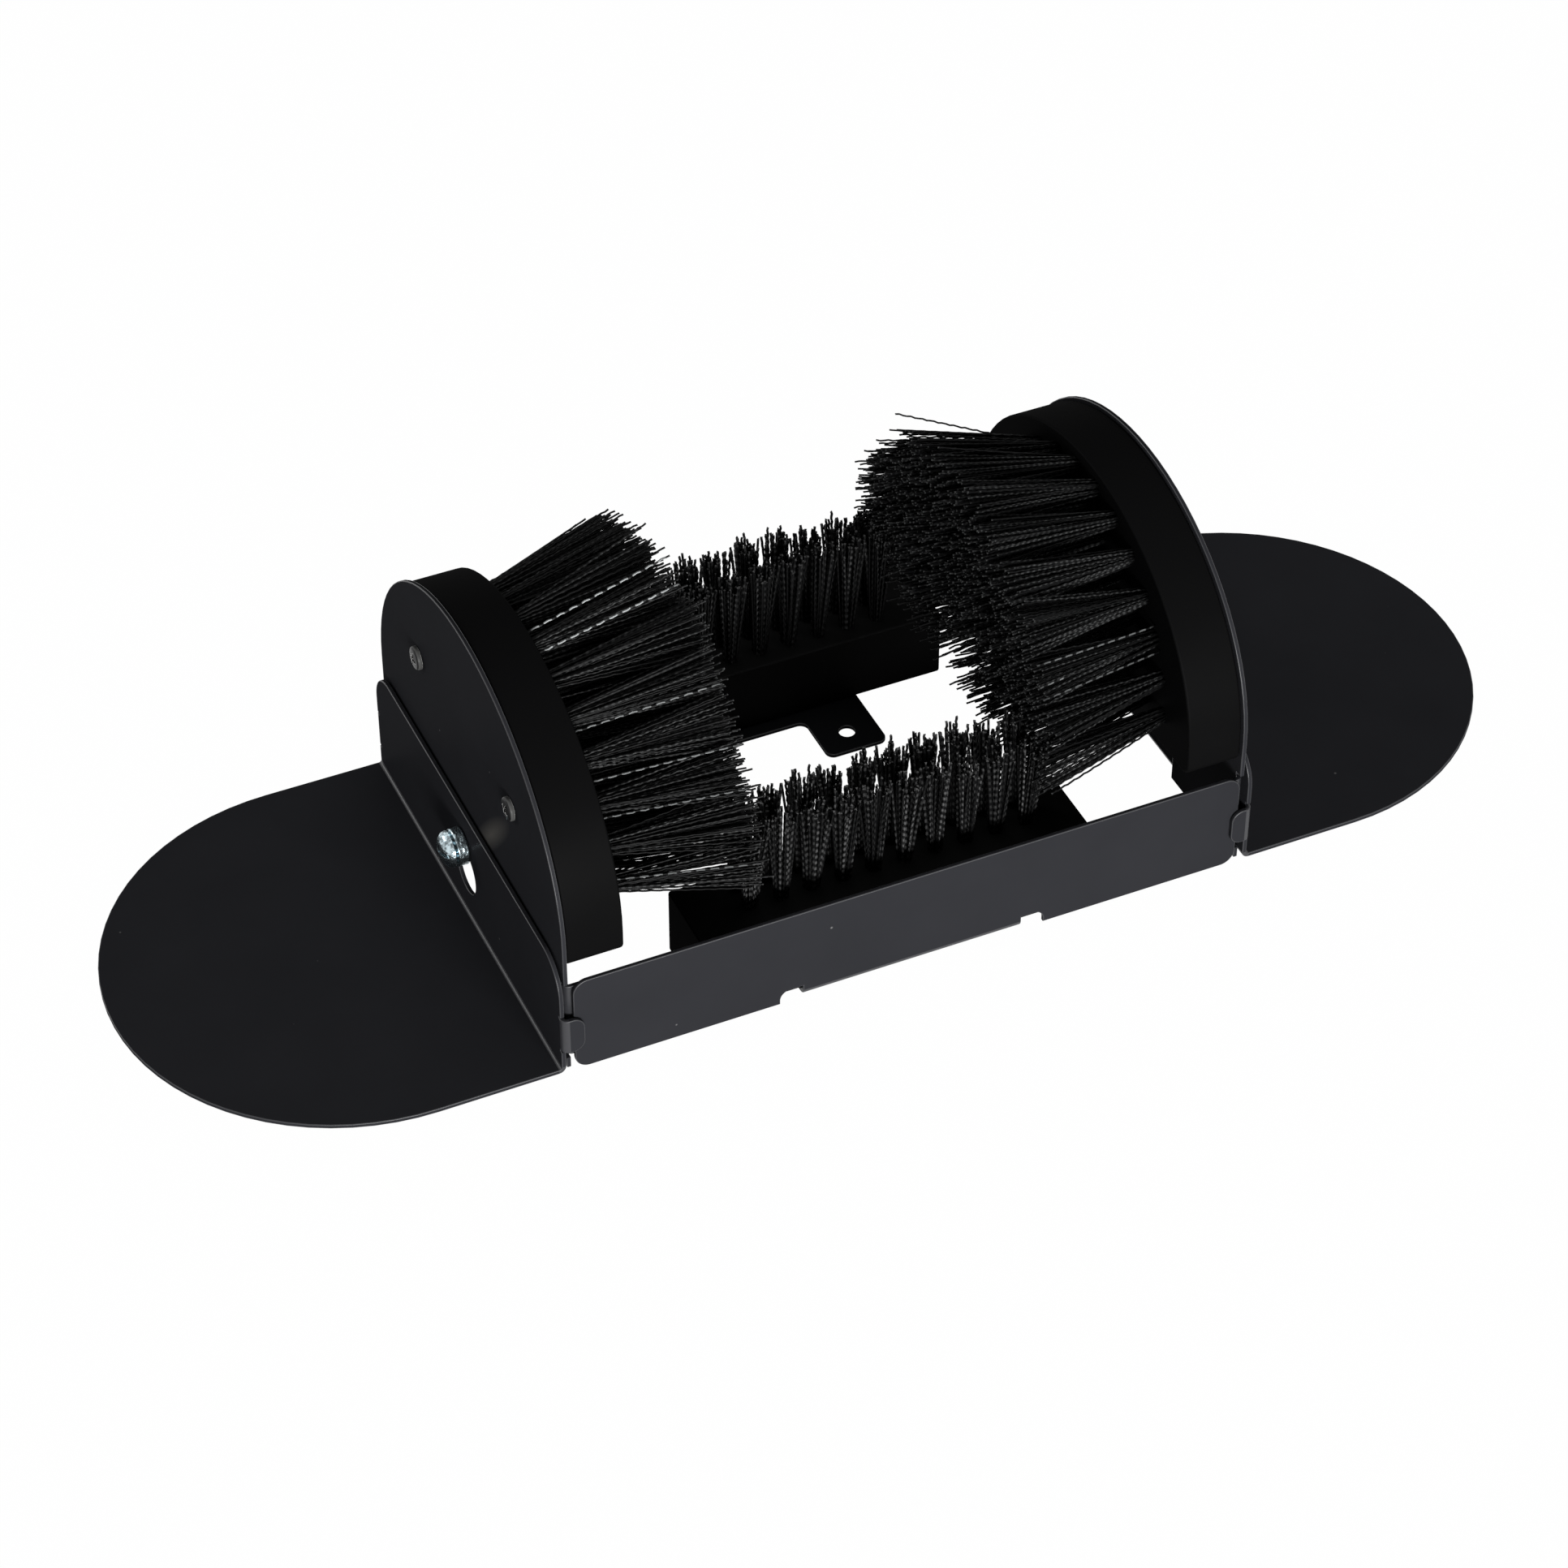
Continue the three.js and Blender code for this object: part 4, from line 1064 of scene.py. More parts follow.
def bristle_tree(name, segments, material):
    """Grows filaments from points that each hold a tuft's aim and values, and stores along, share and tone on
    them for their material."""
    brush = bpy.context.scene.scraper_brush
    tree, start = start_tree(name, (
        ("Filament Radius", "NodeSocketFloat", brush.filament_radius),
        ("Crimp Pitch", "NodeSocketFloat", brush.crimp_pitch),
        ("Crimp Height", "NodeSocketFloat", brush.crimp_height),
        ("Length Variation", "NodeSocketFloat", 0.06),
        ("Bow", "NodeSocketFloat", 0.02),
        ("Seed", "NodeSocketInt", brush.seed),
    ))
    maths = partial(add_maths, tree)
    vectors = partial(add_vectors, tree)

    def chance(low, high, offset, vector=False):
        """A random value for each filament. Each use has an offset of its own."""
        node = add_node(tree, "FunctionNodeRandomValue", data_type="FLOAT_VECTOR" if vector else "FLOAT")
        sockets = {s.name: s for s in node.inputs if s.enabled}
        sockets["Min"].default_value = (low,) * 3 if vector else low
        sockets["Max"].default_value = (high,) * 3 if vector else high
        feed(sockets["Seed"], maths("ADD", start["Seed"], offset))
        return next(s for s in node.outputs if s.enabled)

    copies = add_node(tree, "GeometryNodeDuplicateElements", domain="POINT", Geometry=start["Geometry"],
                      Amount=named(tree, "strands", "INT"))
    number = copies.outputs["Duplicate Index"]
    position = add_node(tree, "GeometryNodeInputPosition").outputs[0]
    aim = named(tree, "aim", "FLOAT_VECTOR")
    unit = vectors("NORMALIZE", aim)
    across = vectors("NORMALIZE", vectors("CROSS_PRODUCT", unit, ODD_WAY))
    beside = vectors("CROSS_PRODUCT", unit, across)

    def on_circle(angle, radius=1):
        """A point of a circle across the tuft."""
        return vectors("ADD", vectors("SCALE", across, maths("MULTIPLY", maths("COSINE", angle), radius)),
                       vectors("SCALE", beside, maths("MULTIPLY", maths("SINE", angle), radius)))

    jitter = maths("ADD", named(tree, "spin"), chance(-TURN_JITTER, TURN_JITTER, 1))
    angle = maths("ADD", maths("MULTIPLY", number, GOLDEN_ANGLE), jitter)
    filled = maths("DIVIDE", maths("ADD", number, 0.5), named(tree, "strands", "INT"))
    disc = on_circle(angle, maths("ADD", maths("SQRT", filled), chance(-DISC_JITTER, DISC_JITTER, 2)))
    few = maths("POWER", chance(0, 1, 9), WILD_POWER)
    wild = maths("ADD", maths("MULTIPLY", few, WILD_SCATTER), TIP_SCATTER)
    tip_disc = vectors("ADD", disc, vectors("SCALE", chance(-1, 1, 3, vector=True), wild))
    reach = maths("SUBTRACT", 1, maths("MULTIPLY", chance(0, 1, 4), start["Length Variation"]))
    from_root = vectors("SCALE", disc, named(tree, "root_spread"))
    from_tip = vectors("SCALE", tip_disc, named(tree, "tip_spread"))
    whole_run = vectors("ADD", vectors("SCALE", aim, reach), vectors("SUBTRACT", from_tip, from_root))

    points = copies.outputs["Geometry"]
    for label, value, kind in (
        ("root", vectors("ADD", position, from_root), "FLOAT_VECTOR"),
        ("run", whole_run, "FLOAT_VECTOR"),
        ("crimp_axis", on_circle(chance(0, FULL_TURN, 5)), "FLOAT_VECTOR"),
        ("bow", vectors("SCALE", chance(-1, 1, 6, vector=True), start["Bow"]), "FLOAT_VECTOR"),
        ("phase", chance(0, FULL_TURN, 7), "FLOAT"),
        ("tone", chance(0, 1, 8), "FLOAT"),
    ):
        points = store(tree, points, label, value, kind)

    line = add_node(tree, "GeometryNodeCurvePrimitiveLine")
    dense = add_node(tree, "GeometryNodeResampleCurve", Curve=line.outputs["Curve"], Count=segments + 1)
    strands = add_node(tree, "GeometryNodeInstanceOnPoints", Points=points, Instance=dense.outputs["Curve"])
    real = add_node(tree, "GeometryNodeRealizeInstances", Geometry=strands.outputs["Instances"])

    share = add_node(tree, "GeometryNodeSplineParameter").outputs["Factor"]
    run = named(tree, "run", "FLOAT_VECTOR")
    phase = named(tree, "phase")
    length = vectors("LENGTH", run)
    along = maths("MULTIPLY", share, length)
    turns = maths("MULTIPLY", maths("DIVIDE", along, start["Crimp Pitch"]), FULL_TURN)
    wave = maths("MULTIPLY", maths("SINE", maths("ADD", turns, phase)), start["Crimp Height"])
    sag = maths("MULTIPLY", maths("MULTIPLY", share, share), length)
    place = vectors("ADD", named(tree, "root", "FLOAT_VECTOR"), vectors("SCALE", run, share))
    for label, by in (("crimp_axis", wave), ("bow", sag)):
        place = vectors("ADD", place, vectors("SCALE", named(tree, label, "FLOAT_VECTOR"), by))
    put = add_node(tree, "GeometryNodeSetPosition", Geometry=real.outputs["Geometry"], Position=place)
    lead = maths("MULTIPLY", phase, maths("DIVIDE", start["Crimp Pitch"], FULL_TURN))
    curves = store(tree, put.outputs["Geometry"], "along", maths("ADD", along, lead))
    curves = store(tree, curves, "share", share)
    radius = start["Filament Radius"]
    profile = add_node(tree, "GeometryNodeCurvePrimitiveCircle", Resolution=3, Radius=radius)
    tube = add_node(tree, "GeometryNodeCurveToMesh", Curve=curves, Profile_Curve=profile.outputs["Curve"],
                    Fill_Caps=True)
    end_tree(tree, tube.outputs["Mesh"], material)
    return tree


def grow_bristles(name, tufts, tree, values, side):
    """Runs a tree of filaments on tufts (root, aim, strands, root_spread, tip_spread, spin, worn)."""
    turn = turn_to(side).to_3x3()
    roots, aims, *columns = zip(*tufts)
    attributes = [("aim", "FLOAT_VECTOR", [turn @ aim for aim in aims])]
    attributes += [(label, kind, column) for (label, kind), column in zip(TUFT_VALUES, columns)]
    mesh = points_mesh(name + "_tufts", [turn @ root for root in roots], attributes)
    return run_tree(name, mesh, tree, values, FILAMENT_HELPERS)


class SCRAPER_OT_side_bristles(BuildOperator, bpy.types.Operator):
    """Grows the bristles of both side brushes in arcs of tufts"""

    bl_idname = "scraper.side_bristles"
    bl_label = "Side bristles"

    def on_arc(self, angle, radius, depth):
        """The way out from the arcs' centre at an angle, and a root there at a depth in the block."""
        outward = Vector((0, -math.cos(angle), math.sin(angle)))
        centre = Vector((side_face - depth, 0, bpy.context.scene.scraper_brush.arc_height))
        return outward, centre + outward * radius

    def arc_of_tufts(self, row, luck):
        """The tufts of one arc, from front to rear. Row 0 is the outermost."""
        brush = bpy.context.scene.scraper_brush
        radius = brush.arc_radius - row * brush.arc_spacing
        margin = math.radians(3.5)
        outer_fan = 0.165
        fewer_inside = 10
        length_spread = 0.02
        root_spread = 2.6 * MM
        tip_spread = 8.8 * MM
        most_swing = 0.8
        count = max(2, round(radius * (math.pi - 2 * margin) / brush.tuft_pitch) + 1)
        fan = outer_fan * radius / brush.arc_radius
        strands = brush.side_strands if row == 0 else brush.side_strands - fewer_inside
        tufts = []
        for k in range(count):
            angle = margin + (math.pi - 2 * margin) * k / (count - 1)
            outward, root = self.on_arc(angle, radius, ROOT_DEPTH)
            reach = brush.side_reach * (1 + luck.uniform(-length_spread, length_spread))
            swing = Vector((0, luck.uniform(-1, 1), luck.uniform(-1, 1))) * most_swing * MM
            aim = X * reach + outward * fan * brush.side_reach + swing
            tufts.append((root, aim, strands, root_spread, tip_spread, luck.uniform(0, LARGEST_SPIN), 0))
        return tufts

    def glinting_filaments(self, marks):
        """Single glinting filaments on the outermost arc, with painted glint dashes. A mark is an angle in
        degrees, and how bright its painted dashes are.
        """
        brush = bpy.context.scene.scraper_brush
        past_tufts = 2 * MM
        reach = 0.98
        fan = 0.29
        tufts = []
        for degrees, worn in marks:
            outward, root = self.on_arc(math.radians(degrees), brush.arc_radius + past_tufts, 0)
            aim = X * reach * brush.side_reach + outward * fan * brush.side_reach
            tufts.append((root, aim, 1, 0, 0, 0, worn))
        return tufts

    def single_filaments(self, side):
        """The filaments that stand out: ones with painted glint dashes, and at the right one that has sprung
        up.
        """
        if side == "left":
            return self.glinting_filaments(((88, 0.8), (79, 0.65), (52, 0.35), (37, 0.3), (26, 0.25), (6, 0.2)))
        root = Vector((side_face, -36 * MM, 97 * MM))
        aim = Vector((49.5, -5, 25)) * MM
        sprung = (root, aim, 1, 0, 0, 0, 0)
        return self.glinting_filaments(((146, 0.2), (150, 0.25), (154, 0.15))) + [sprung]

    def execute(self, context):
        brush = context.scene.scraper_brush
        material = bristle_plastic("side_filament", brush.crimp_pitch / 2, brush.crimp_pitch,
                                   tuple(brush.crest_glint_colour), 0.85, 1)
        fine = bristle_tree("fine_filaments", 36, material)
        plain = bristle_tree("plain_filaments", 22, material)
        for number, side in enumerate(("left", "right")):
            luck = random.Random(brush.seed + number)
            outer, *rows = [self.arc_of_tufts(row, luck) for row in range(brush.arc_count)]
            outer += self.single_filaments(side)
            inner = [tuft for row in rows for tuft in row]
            for part, tufts, tree, seed in (("outer", outer, fine, 10), ("inner", inner, plain, 20)):
                values = {"Seed": brush.seed + seed + number}
                piece = grow_bristles(f"{side}_{part}_bristles", tufts, tree, values, side)
                self.finish(piece, "frame", "bristle", [f"{side}_bristles"])
        return {"FINISHED"}


class SCRAPER_OT_strip_bristles(BuildOperator, bpy.types.Operator):
    """Grows the upright bristles of both strip brushes"""

    bl_idname = "scraper.strip_bristles"
    bl_label = "Strip bristles"

    def strip_of_tufts(self, luck):
        """The two rows of tufts of a strip."""
        brush = bpy.context.scene.scraper_brush
        # Each row's distance from the bar's outer edge, and its tufts' lean inwards as a share of their length
        rows = ((17.2 * MM, -0.05), (26.2 * MM, 0.05))
        length_spread = 0.05
        root_spread = 2.3 * MM
        tip_spread = 4.9 * MM
        most_swing = 0.9
        tufts = []
        for from_edge, lean in rows:
            for k in range(brush.strip_count):
                x = (k - (brush.strip_count - 1) / 2) * brush.strip_pitch
                root = Vector((x, strip_block_low.y + from_edge, strip_face - ROOT_DEPTH))
                reach = brush.strip_reach * (1 + luck.uniform(-length_spread, length_spread))
                aim = Vector((luck.uniform(-1, 1) * most_swing * MM, lean * reach, reach))
                spin = luck.uniform(0, LARGEST_SPIN)
                tufts.append((root, aim, brush.strip_strands, root_spread, tip_spread, spin, 0))
        return tufts

    def execute(self, context):
        brush = context.scene.scraper_brush
        pitch = brush.strip_crimp_pitch
        # Each strip's spread in length, and how pale it is: the rear one is darker, a painted shade
        strips = (("front", 0.16, 1), ("rear", 0.09, 0.6))
        for number, (side, ragged, pale) in enumerate(strips):
            crest_glint_colour = lighter(brush.strip_crest_glint_colour, pale)
            material = bristle_plastic(f"{side}_filament", pitch, pitch, crest_glint_colour, 0.95, 0.2)
            tree = bristle_tree(f"{side}_filaments", 42, material)
            tufts = self.strip_of_tufts(random.Random(brush.seed + 100 + number))
            values = {"Seed": brush.seed + 30 + number, "Crimp Pitch": pitch,
                      "Filament Radius": brush.strip_radius, "Length Variation": ragged, "Bow": 0.03}
            piece = grow_bristles(f"{side}_strip_bristles", tufts, tree, values, side)
            self.finish(piece, "frame", "bristle", [f"{side}_bristles"])
        return {"FINISHED"}


# Fasteners

# How much painted highlight a face has, by its material index: plain, beside a cut, or on a head's rim
EDGE_HIGHLIGHT = (0, 1, 0.09)
# An edge of a fastener is sharp from this angle on
SHARP_ON_FASTENERS = math.radians(32)


def lathe(profile):
    """A turned solid as a bmesh: profile points are (radius, distance along X), from axis to axis."""
    segments = bpy.context.scene.scraper_fastener.segments
    bm = bmesh.new()
    rings = []
    for radius, along in profile:
        angles = [FULL_TURN * k / segments for k in range(1 if radius == 0 else segments)]
        rings.append([bm.verts.new((along, radius * math.cos(a), radius * math.sin(a))) for a in angles])
    for low, high in zip(rings, rings[1:]):
        for k in range(segments):
            n = (k + 1) % segments
            corners = [low[k % len(low)], low[n % len(low)], high[n % len(high)], high[k % len(high)]]
            unique = list(dict.fromkeys(corners))
            if len(unique) > 2:
                bm.faces.new(unique)
    bmesh.ops.recalc_face_normals(bm, faces=bm.faces)
    return bm


def cutter_box(lead, depth, half_y, half_z):
    """A box that cuts into a head, from a lead in front of it to a depth in it, as a bmesh."""
    low = Vector((-lead, -half_y, -half_z))
    high = Vector((depth, half_y, half_z))
    bm = bmesh.new()
    bmesh.ops.create_cube(bm, size=1)
    place = Matrix.Translation((high + low) / 2) @ Matrix.Diagonal((*(high - low), 1))
    bmesh.ops.transform(bm, matrix=place, verts=bm.verts)
    return bm


def cut(piece, cutters, edge_width=0.12 * MM):
    """Cuts boxes out of a piece, rounds its sharp edges, marks them with edge and leaves a plain mesh."""
    made = []
    for number, bm in enumerate(cutters):
        mesh = bpy.data.meshes.new(f"cutter_{number}")
        bm.to_mesh(mesh)
        bm.free()
        cutter = add_object(mesh.name, mesh)
        made.append(cutter)
        boolean = piece.modifiers.new(mesh.name, "BOOLEAN")
        boolean.operation = "DIFFERENCE"
        boolean.solver = "EXACT"
        boolean.object = cutter
    bevel = piece.modifiers.new("soft_edges", "BEVEL")
    bevel.width = edge_width
    bevel.material = 1
    bevel.segments = 2
    bevel.limit_method = "ANGLE"
    bevel.angle_limit = math.radians(35)
    plain = plain_mesh(piece)
    piece.modifiers.clear()
    piece.data = plain
    # Edge stores each face's share of painted highlight
    mark = plain.attributes.new("edge", "FLOAT", "FACE")
    for item, face in zip(mark.data, plain.polygons):
        item.value = EDGE_HIGHLIGHT[face.material_index]
    for cutter in made:
        bpy.data.objects.remove(cutter)


def cut_cross(piece, lead, depth, reach, half, **edge):
    """Cuts a cross recess into a head."""
    cut(piece, [cutter_box(lead, depth, reach, half), cutter_box(lead, depth, half, reach)], **edge)


def spread_fasteners(name, shape, places, material):
    """One plain mesh with a copy of shape at every place (point, turn as Euler angles)."""
    tree, start = start_tree(name + "_places", (("Shape", "NodeSocketObject", None),))
    info = add_node(tree, "GeometryNodeObjectInfo", Object=start["Shape"])
    rotation = add_node(tree, "FunctionNodeEulerToRotation", Euler=named(tree, "turn", "FLOAT_VECTOR"))
    put = add_node(tree, "GeometryNodeInstanceOnPoints", Points=start["Geometry"],
                   Instance=info.outputs["Geometry"], Rotation=rotation.outputs[0])
    end_tree(tree, put.outputs["Instances"], material)
    points, turns = zip(*places)
    mesh = points_mesh(name + "_points", points, [("turn", "FLOAT_VECTOR", turns)])
    piece = run_tree(name, mesh, tree, {"Shape": shape}, ["turn"])
    bpy.data.objects.remove(shape)
    shade(piece, SHARP_ON_FASTENERS)
    return piece


class SCRAPER_OT_block_screws(BuildOperator, bpy.types.Operator):
    """Builds the pan-head screws that hold the side brushes"""

    bl_idname = "scraper.block_screws"
    bl_label = "Block screws"

    def execute(self, context):
        settings = context.scene.scraper_fastener
        steel = dark_plating()
        radius = half_depth(screw_low, screw_high)
        head = settings.pan_height
        crown = 0.3 * MM
        shoulder = 0.9 * MM
        length = screw_high.x - screw_low.x
        shank = 1.9 * MM
        flat = radius - shoulder
        profile = [(0, 0), (0.5 * flat, 0.25 * crown), (flat, crown)]
        for k in range(1, 6):
            angle = QUARTER_TURN * k / 5
            profile.append((flat + shoulder * math.sin(angle), crown + shoulder * (1 - math.cos(angle))))
        profile += [(radius, head), (shank, head), (shank, length), (0, length)]
        bm = lathe(profile)
        # The head's side takes material index 2, for its faint painted rim highlight
        for face in bm.faces:
            if abs(face.normal.x) < 0.5 and face.calc_center_median().x < head:
                face.material_index = 2
        shape = mesh_piece("pan_head_shape", bm, [steel] * 3)
        cut_cross(shape, head, settings.cross_depth, settings.cross_reach, settings.cross_width / 2,
                  edge_width=0.3 * MM)
        _, y, z = middle(screw_low, screw_high)
        places = []
        for sign, turn in ((1, 0), (-1, math.pi)):
            for side_y, spin in ((y, 0.5), (-y, 0.15)):
                places.append((Vector((sign * screw_low.x, side_y, z)), Vector((spin, 0, turn))))
        piece = spread_fasteners("block_screws", shape, places, steel)
        nodes = [f"{a}_block_screw_{b}" for a in ("left", "right") for b in ("front", "rear")]
        self.finish(piece, "frame", "dark_screw", nodes)
        return {"FINISHED"}


class SCRAPER_OT_strip_screws(BuildOperator, bpy.types.Operator):
    """Builds the countersunk screws under the strip brushes"""

    bl_idname = "scraper.strip_screws"
    bl_label = "Strip screws"

    def execute(self, context):
        steel = bpy.data.materials["dark_plating"]
        radius = half_depth(strip_screw_low, strip_screw_high)
        shank = 1.9 * MM
        length = strip_screw_high.z - strip_screw_low.z
        rim = 0.15 * MM
        lead = 1 * MM
        depth = 0.9 * MM
        reach = 0.62 * radius
        half_width = 0.45 * MM
        spin = 0.4
        profile = [
            (0, 0), (radius - rim, 0), (radius, rim), (shank, radius - shank), (shank, length), (0, length),
        ]
        shape = mesh_piece("flat_head_shape", lathe(profile), [steel] * 2)
        cut_cross(shape, lead, depth, reach, half_width)
        x, y, _ = middle(strip_screw_low, strip_screw_high)
        upright = Vector((spin, -QUARTER_TURN, 0))
        places = [(Vector((a, b, strip_screw_low.z)), upright) for a in (x, -x) for b in (y, -y)]
        piece = spread_fasteners("strip_screws", shape, places, steel)
        nodes = [f"{a}_strip_screw_{b}" for a in ("front", "rear") for b in ("left", "right")]
        self.finish(piece, "frame", "dark_screw", nodes)
        return {"FINISHED"}


class SCRAPER_OT_hook_bolts(BuildOperator, bpy.types.Operator):
    """Builds the zinc-plated hook bolts with their washers and nuts"""

    bl_idname = "scraper.hook_bolts"
    bl_label = "Hook bolts"

    def bolt_shape(self, zinc):
        """The slotted bolt along X, its head at X 0."""
        settings = bpy.context.scene.scraper_fastener
        radius = half_depth(bolt_low, bolt_high)
        head = washer_low.x - bolt_low.x
        shank = 3 * MM
        length = bolt_high.x - bolt_low.x
        dome_height = 0.8 * head
        roundness = 0.75
        profile = [(0, 0)]
        for k in range(1, 9):
            angle = QUARTER_TURN * k / 8
            profile.append((radius * math.sin(angle) ** roundness, dome_height * (1 - math.cos(angle))))
        rim = 1 * MM
        profile += [(radius, head - rim), (radius - rim, head), (shank, head)]
        pitch = 1 * MM
        groove = 0.35 * MM
        chamfer = 0.5 * MM
        along = nut_low.x - bolt_low.x
        while along + pitch < length:
            profile += [(shank, along), (shank - groove, along + pitch / 2)]
            along += pitch
        profile += [(shank, along), (shank - chamfer, length), (0, length)]
        shape = mesh_piece("bolt_shape", lathe(profile), [zinc] * 2)
        cut(shape, [cutter_box(head, settings.slot_depth, settings.slot_width / 2, 2 * radius)])
        return shape

    def washer_shape(self, zinc):
        """The washer along X, with rounded rims."""
        radius = half_depth(washer_low, washer_high)
        thickness = washer_high.x - washer_low.x
        bore = 3.3 * MM
        rim = 0.55 * MM
        section = []
        for height, first in ((rim, 3), (thickness - rim, 0)):
            for k in range(5):
                angle = QUARTER_TURN * (first + k / 4)
                section.append((radius - rim + rim * math.cos(angle), height + rim * math.sin(angle)))
        section += [(bore, thickness), (bore, 0)]
        bm = lathe(section + section[:1])
        bmesh.ops.remove_doubles(bm, verts=bm.verts, dist=SAME_PLACE)
        bmesh.ops.recalc_face_normals(bm, faces=bm.faces)
        return mesh_piece("washer_shape", bm, [zinc])

    def nut_shape(self, zinc):
        """The hexagon nut along X, with its bore."""
        corner = half_depth(nut_low, nut_high) / math.cos(math.pi / 6)
        bore = 3.05 * MM
        edge = 0.4 * MM
        outline = [(corner * math.cos(a), corner * math.sin(a)) for a in (math.pi / 3 * k for k in range(6))]
        bm = plate(outline, [ring((0, 0), bore)], nut_high.x - nut_low.x, edge)
        stand_up(bm, Z, X.cross(Z), Vector((0, 0, 0)))
        low = min(vert.co.x for vert in bm.verts)
        bmesh.ops.translate(bm, vec=Vector((-low, 0, 0)), verts=bm.verts)
        return mesh_piece("nut_shape", bm, [zinc])

    def execute(self, context):
        zinc = zinc_plating()
        z = middle(bolt_low, bolt_high)[2]
        left_spin = 1.3
        right_spin = 0.7
        parts = (
            ("hook_bolt", self.bolt_shape(zinc), bolt_low.x),
            ("hook_washer", self.washer_shape(zinc), washer_low.x),
            ("hook_nut", self.nut_shape(zinc), nut_low.x),
        )
        for node, shape, x in parts:
            places = [
                (Vector((x, 0, z)), Vector((left_spin, 0, 0))),
                (Vector((-x, 0, z)), Vector((right_spin, 0, math.pi))),
            ]
            piece = spread_fasteners(f"{node}s", shape, places, zinc)
            self.finish(piece, "frame", "zinc", [f"left_{node}", f"right_{node}"])
        return {"FINISHED"}


# Stage

# Each lamp's name, place in metres, width, height and power in watts
LAMPS = (
    ("front_lamp", (-0.25, -2.2, 0.36), 1.6, 0.5, 90),
    ("top_lamp", (0.3, 0.2, 2.1), 1.2, 1.2, 4.5),
    ("rear_lamp", (-1.3, 1.35, 0.7), 0.7, 0.7, 8),
)
LAMP_TARGET = Vector((0, 0, 0.05))
# How far the floor lies below the object, so that the two don't touch
FLOOR_GAP = 0.05 * MM
WHITE = (1, 1, 1, 1)


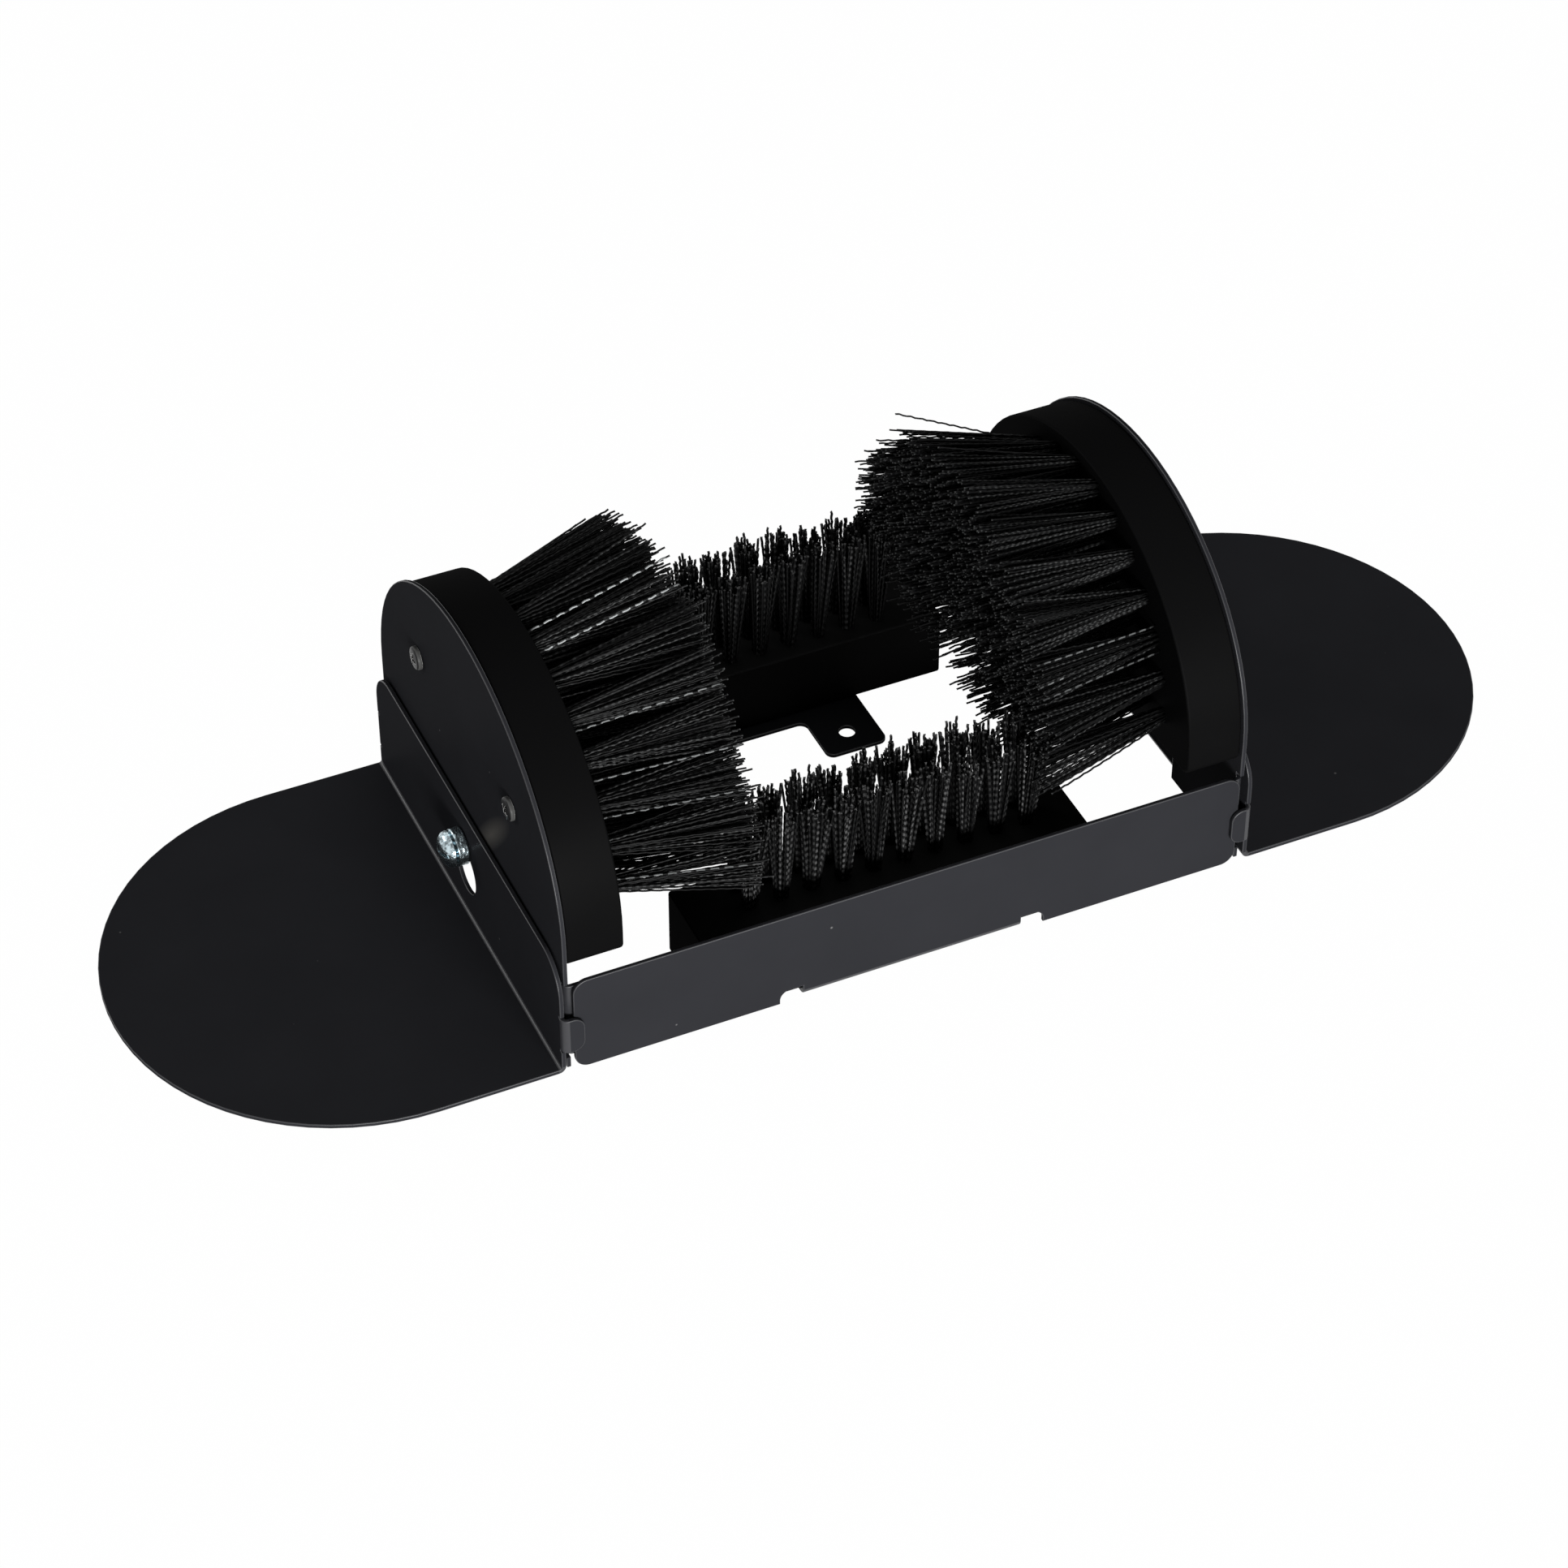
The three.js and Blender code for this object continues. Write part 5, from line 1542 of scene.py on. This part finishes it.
class SCRAPER_OT_stage(BuildOperator, bpy.types.Operator):
    """Makes the floor, the lamps, the world and the camera"""

    bl_idname = "scraper.stage"
    bl_label = "Stage"

    def camera(self, stage):
        """The camera at the photograph's place."""
        level = math.cos(stage.elevation)
        back = Vector((
            math.sin(stage.azimuth) * level, -math.cos(stage.azimuth) * level, math.sin(stage.elevation)))
        right = (-back).cross(Z).normalized()
        up = right.cross(-back)
        tilted_right = right * math.cos(stage.roll) + up * math.sin(stage.roll)
        tilted_up = up * math.cos(stage.roll) - right * math.sin(stage.roll)
        data = bpy.data.cameras.new("photo_camera")
        data.lens = stage.lens
        data.sensor_width = 36
        data.clip_start = 0.05
        data.clip_end = 50
        camera = add_object("photo_camera", data)
        matrix = Matrix((tilted_right, tilted_up, back)).transposed().to_4x4()
        matrix.translation = back * stage.distance + tilted_right * stage.aim_right + tilted_up * stage.aim_up
        camera.matrix_world = matrix
        bpy.context.scene.camera = camera

    def seen_plainly(self, tree):
        """A factor that is 1 for camera, glossy and transmission rays."""
        path = add_node(tree, "ShaderNodeLightPath").outputs
        seen = add_maths(tree, "MAXIMUM", path["Is Camera Ray"], path["Is Glossy Ray"])
        return add_maths(tree, "MAXIMUM", seen, path["Is Transmission Ray"])

    def floor(self, stage):
        """A pale floor that keeps the object's shadow and shows as nearly white."""
        bm = bmesh.new()
        half = stage.floor_size / 2
        corners = ((-half, -half), (half, -half), (half, half), (-half, half))
        bm.faces.new([bm.verts.new((x, y, -FLOOR_GAP)) for x, y in corners])
        material, tree, shader = new_material("pale_floor")
        set_inputs(shader, Base_Color=tuple(stage.floor_colour), Roughness=0.9, Specular_IOR_Level=0)
        white = add_node(tree, "ShaderNodeEmission", Color=WHITE, Strength=1)
        share = add_maths(tree, "MULTIPLY", self.seen_plainly(tree), stage.floor_white)
        mix = add_node(tree, "ShaderNodeMixShader")
        for socket, value in zip(mix.inputs, (share, shader.outputs[0], white.outputs[0])):
            feed(socket, value)
        set_inputs(tree.nodes["Material Output"], Surface=mix.outputs[0])
        mesh_piece("floor", bm, [material])

    def lamp(self, name, place, width, height, power):
        """A soft lamp that shines from its place to the object."""
        data = bpy.data.lights.new(name, "AREA")
        data.shape = "RECTANGLE"
        data.size = width
        data.size_y = height
        data.energy = power
        lamp = add_object(name, data)
        lamp.location = place
        lamp.rotation_euler = (LAMP_TARGET - Vector(place)).to_track_quat("-Z", "Y").to_euler()

    def world(self, stage):
        """A plain light all round, white where it is seen."""
        world = bpy.data.worlds.new("soft_world")
        world.use_nodes = True
        tree = world.node_tree
        level = add_range(tree, self.seen_plainly(tree), 0, 1, stage.world_light, 1)
        set_inputs(tree.nodes["Background"], Color=WHITE, Strength=level)
        bpy.context.scene.world = world

    def execute(self, context):
        stage = context.scene.scraper_stage
        context.scene.view_settings.view_transform = "Standard"
        self.camera(stage)
        self.floor(stage)
        self.world(stage)
        for values in LAMPS:
            self.lamp(*values)
        return {"FINISHED"}


BUILD_STEPS = (
    SCRAPER_OT_foot_plates,
    SCRAPER_OT_end_plates,
    SCRAPER_OT_rails,
    SCRAPER_OT_brush_blocks,
    SCRAPER_OT_side_bristles,
    SCRAPER_OT_strip_bristles,
    SCRAPER_OT_block_screws,
    SCRAPER_OT_strip_screws,
    SCRAPER_OT_hook_bolts,
    SCRAPER_OT_stage,
)
SETTINGS = {
    "scraper_sheet": SheetSettings,
    "scraper_foot": FootSettings,
    "scraper_frame": FrameSettings,
    "scraper_brush": BrushSettings,
    "scraper_fastener": FastenerSettings,
    "scraper_stage": StageSettings,
}


class SCRAPER_PT_sidebar(bpy.types.Panel):
    """Lists the settings and the steps of the boot scraper"""

    bl_idname = "SCRAPER_PT_sidebar"
    bl_label = "Boot Scraper"
    bl_space_type = "VIEW_3D"
    bl_region_type = "UI"
    bl_category = "Boot Scraper"

    def draw(self, context):
        layout = self.layout
        for name, settings in SETTINGS.items():
            column = layout.column(align=True)
            column.label(text=settings.__doc__)
            for prop in settings.__annotations__:
                column.prop(getattr(context.scene, name), prop)
        for step in BUILD_STEPS:
            layout.operator(step.bl_idname)


CLASSES = (*SETTINGS.values(), *BUILD_STEPS, SCRAPER_PT_sidebar)


def register():
    for item in CLASSES:
        bpy.utils.register_class(item)
    for name, settings in SETTINGS.items():
        setattr(bpy.types.Scene, name, PointerProperty(type=settings))


def unregister():
    for name in SETTINGS:
        delattr(bpy.types.Scene, name)
    for item in reversed(CLASSES):
        bpy.utils.unregister_class(item)


def main():
    """Builds the boot scraper step by step."""
    register()
    for step in BUILD_STEPS:
        group, name = step.bl_idname.split(".")
        getattr(getattr(bpy.ops, group), name)()


if __name__ == "__main__":
    main()
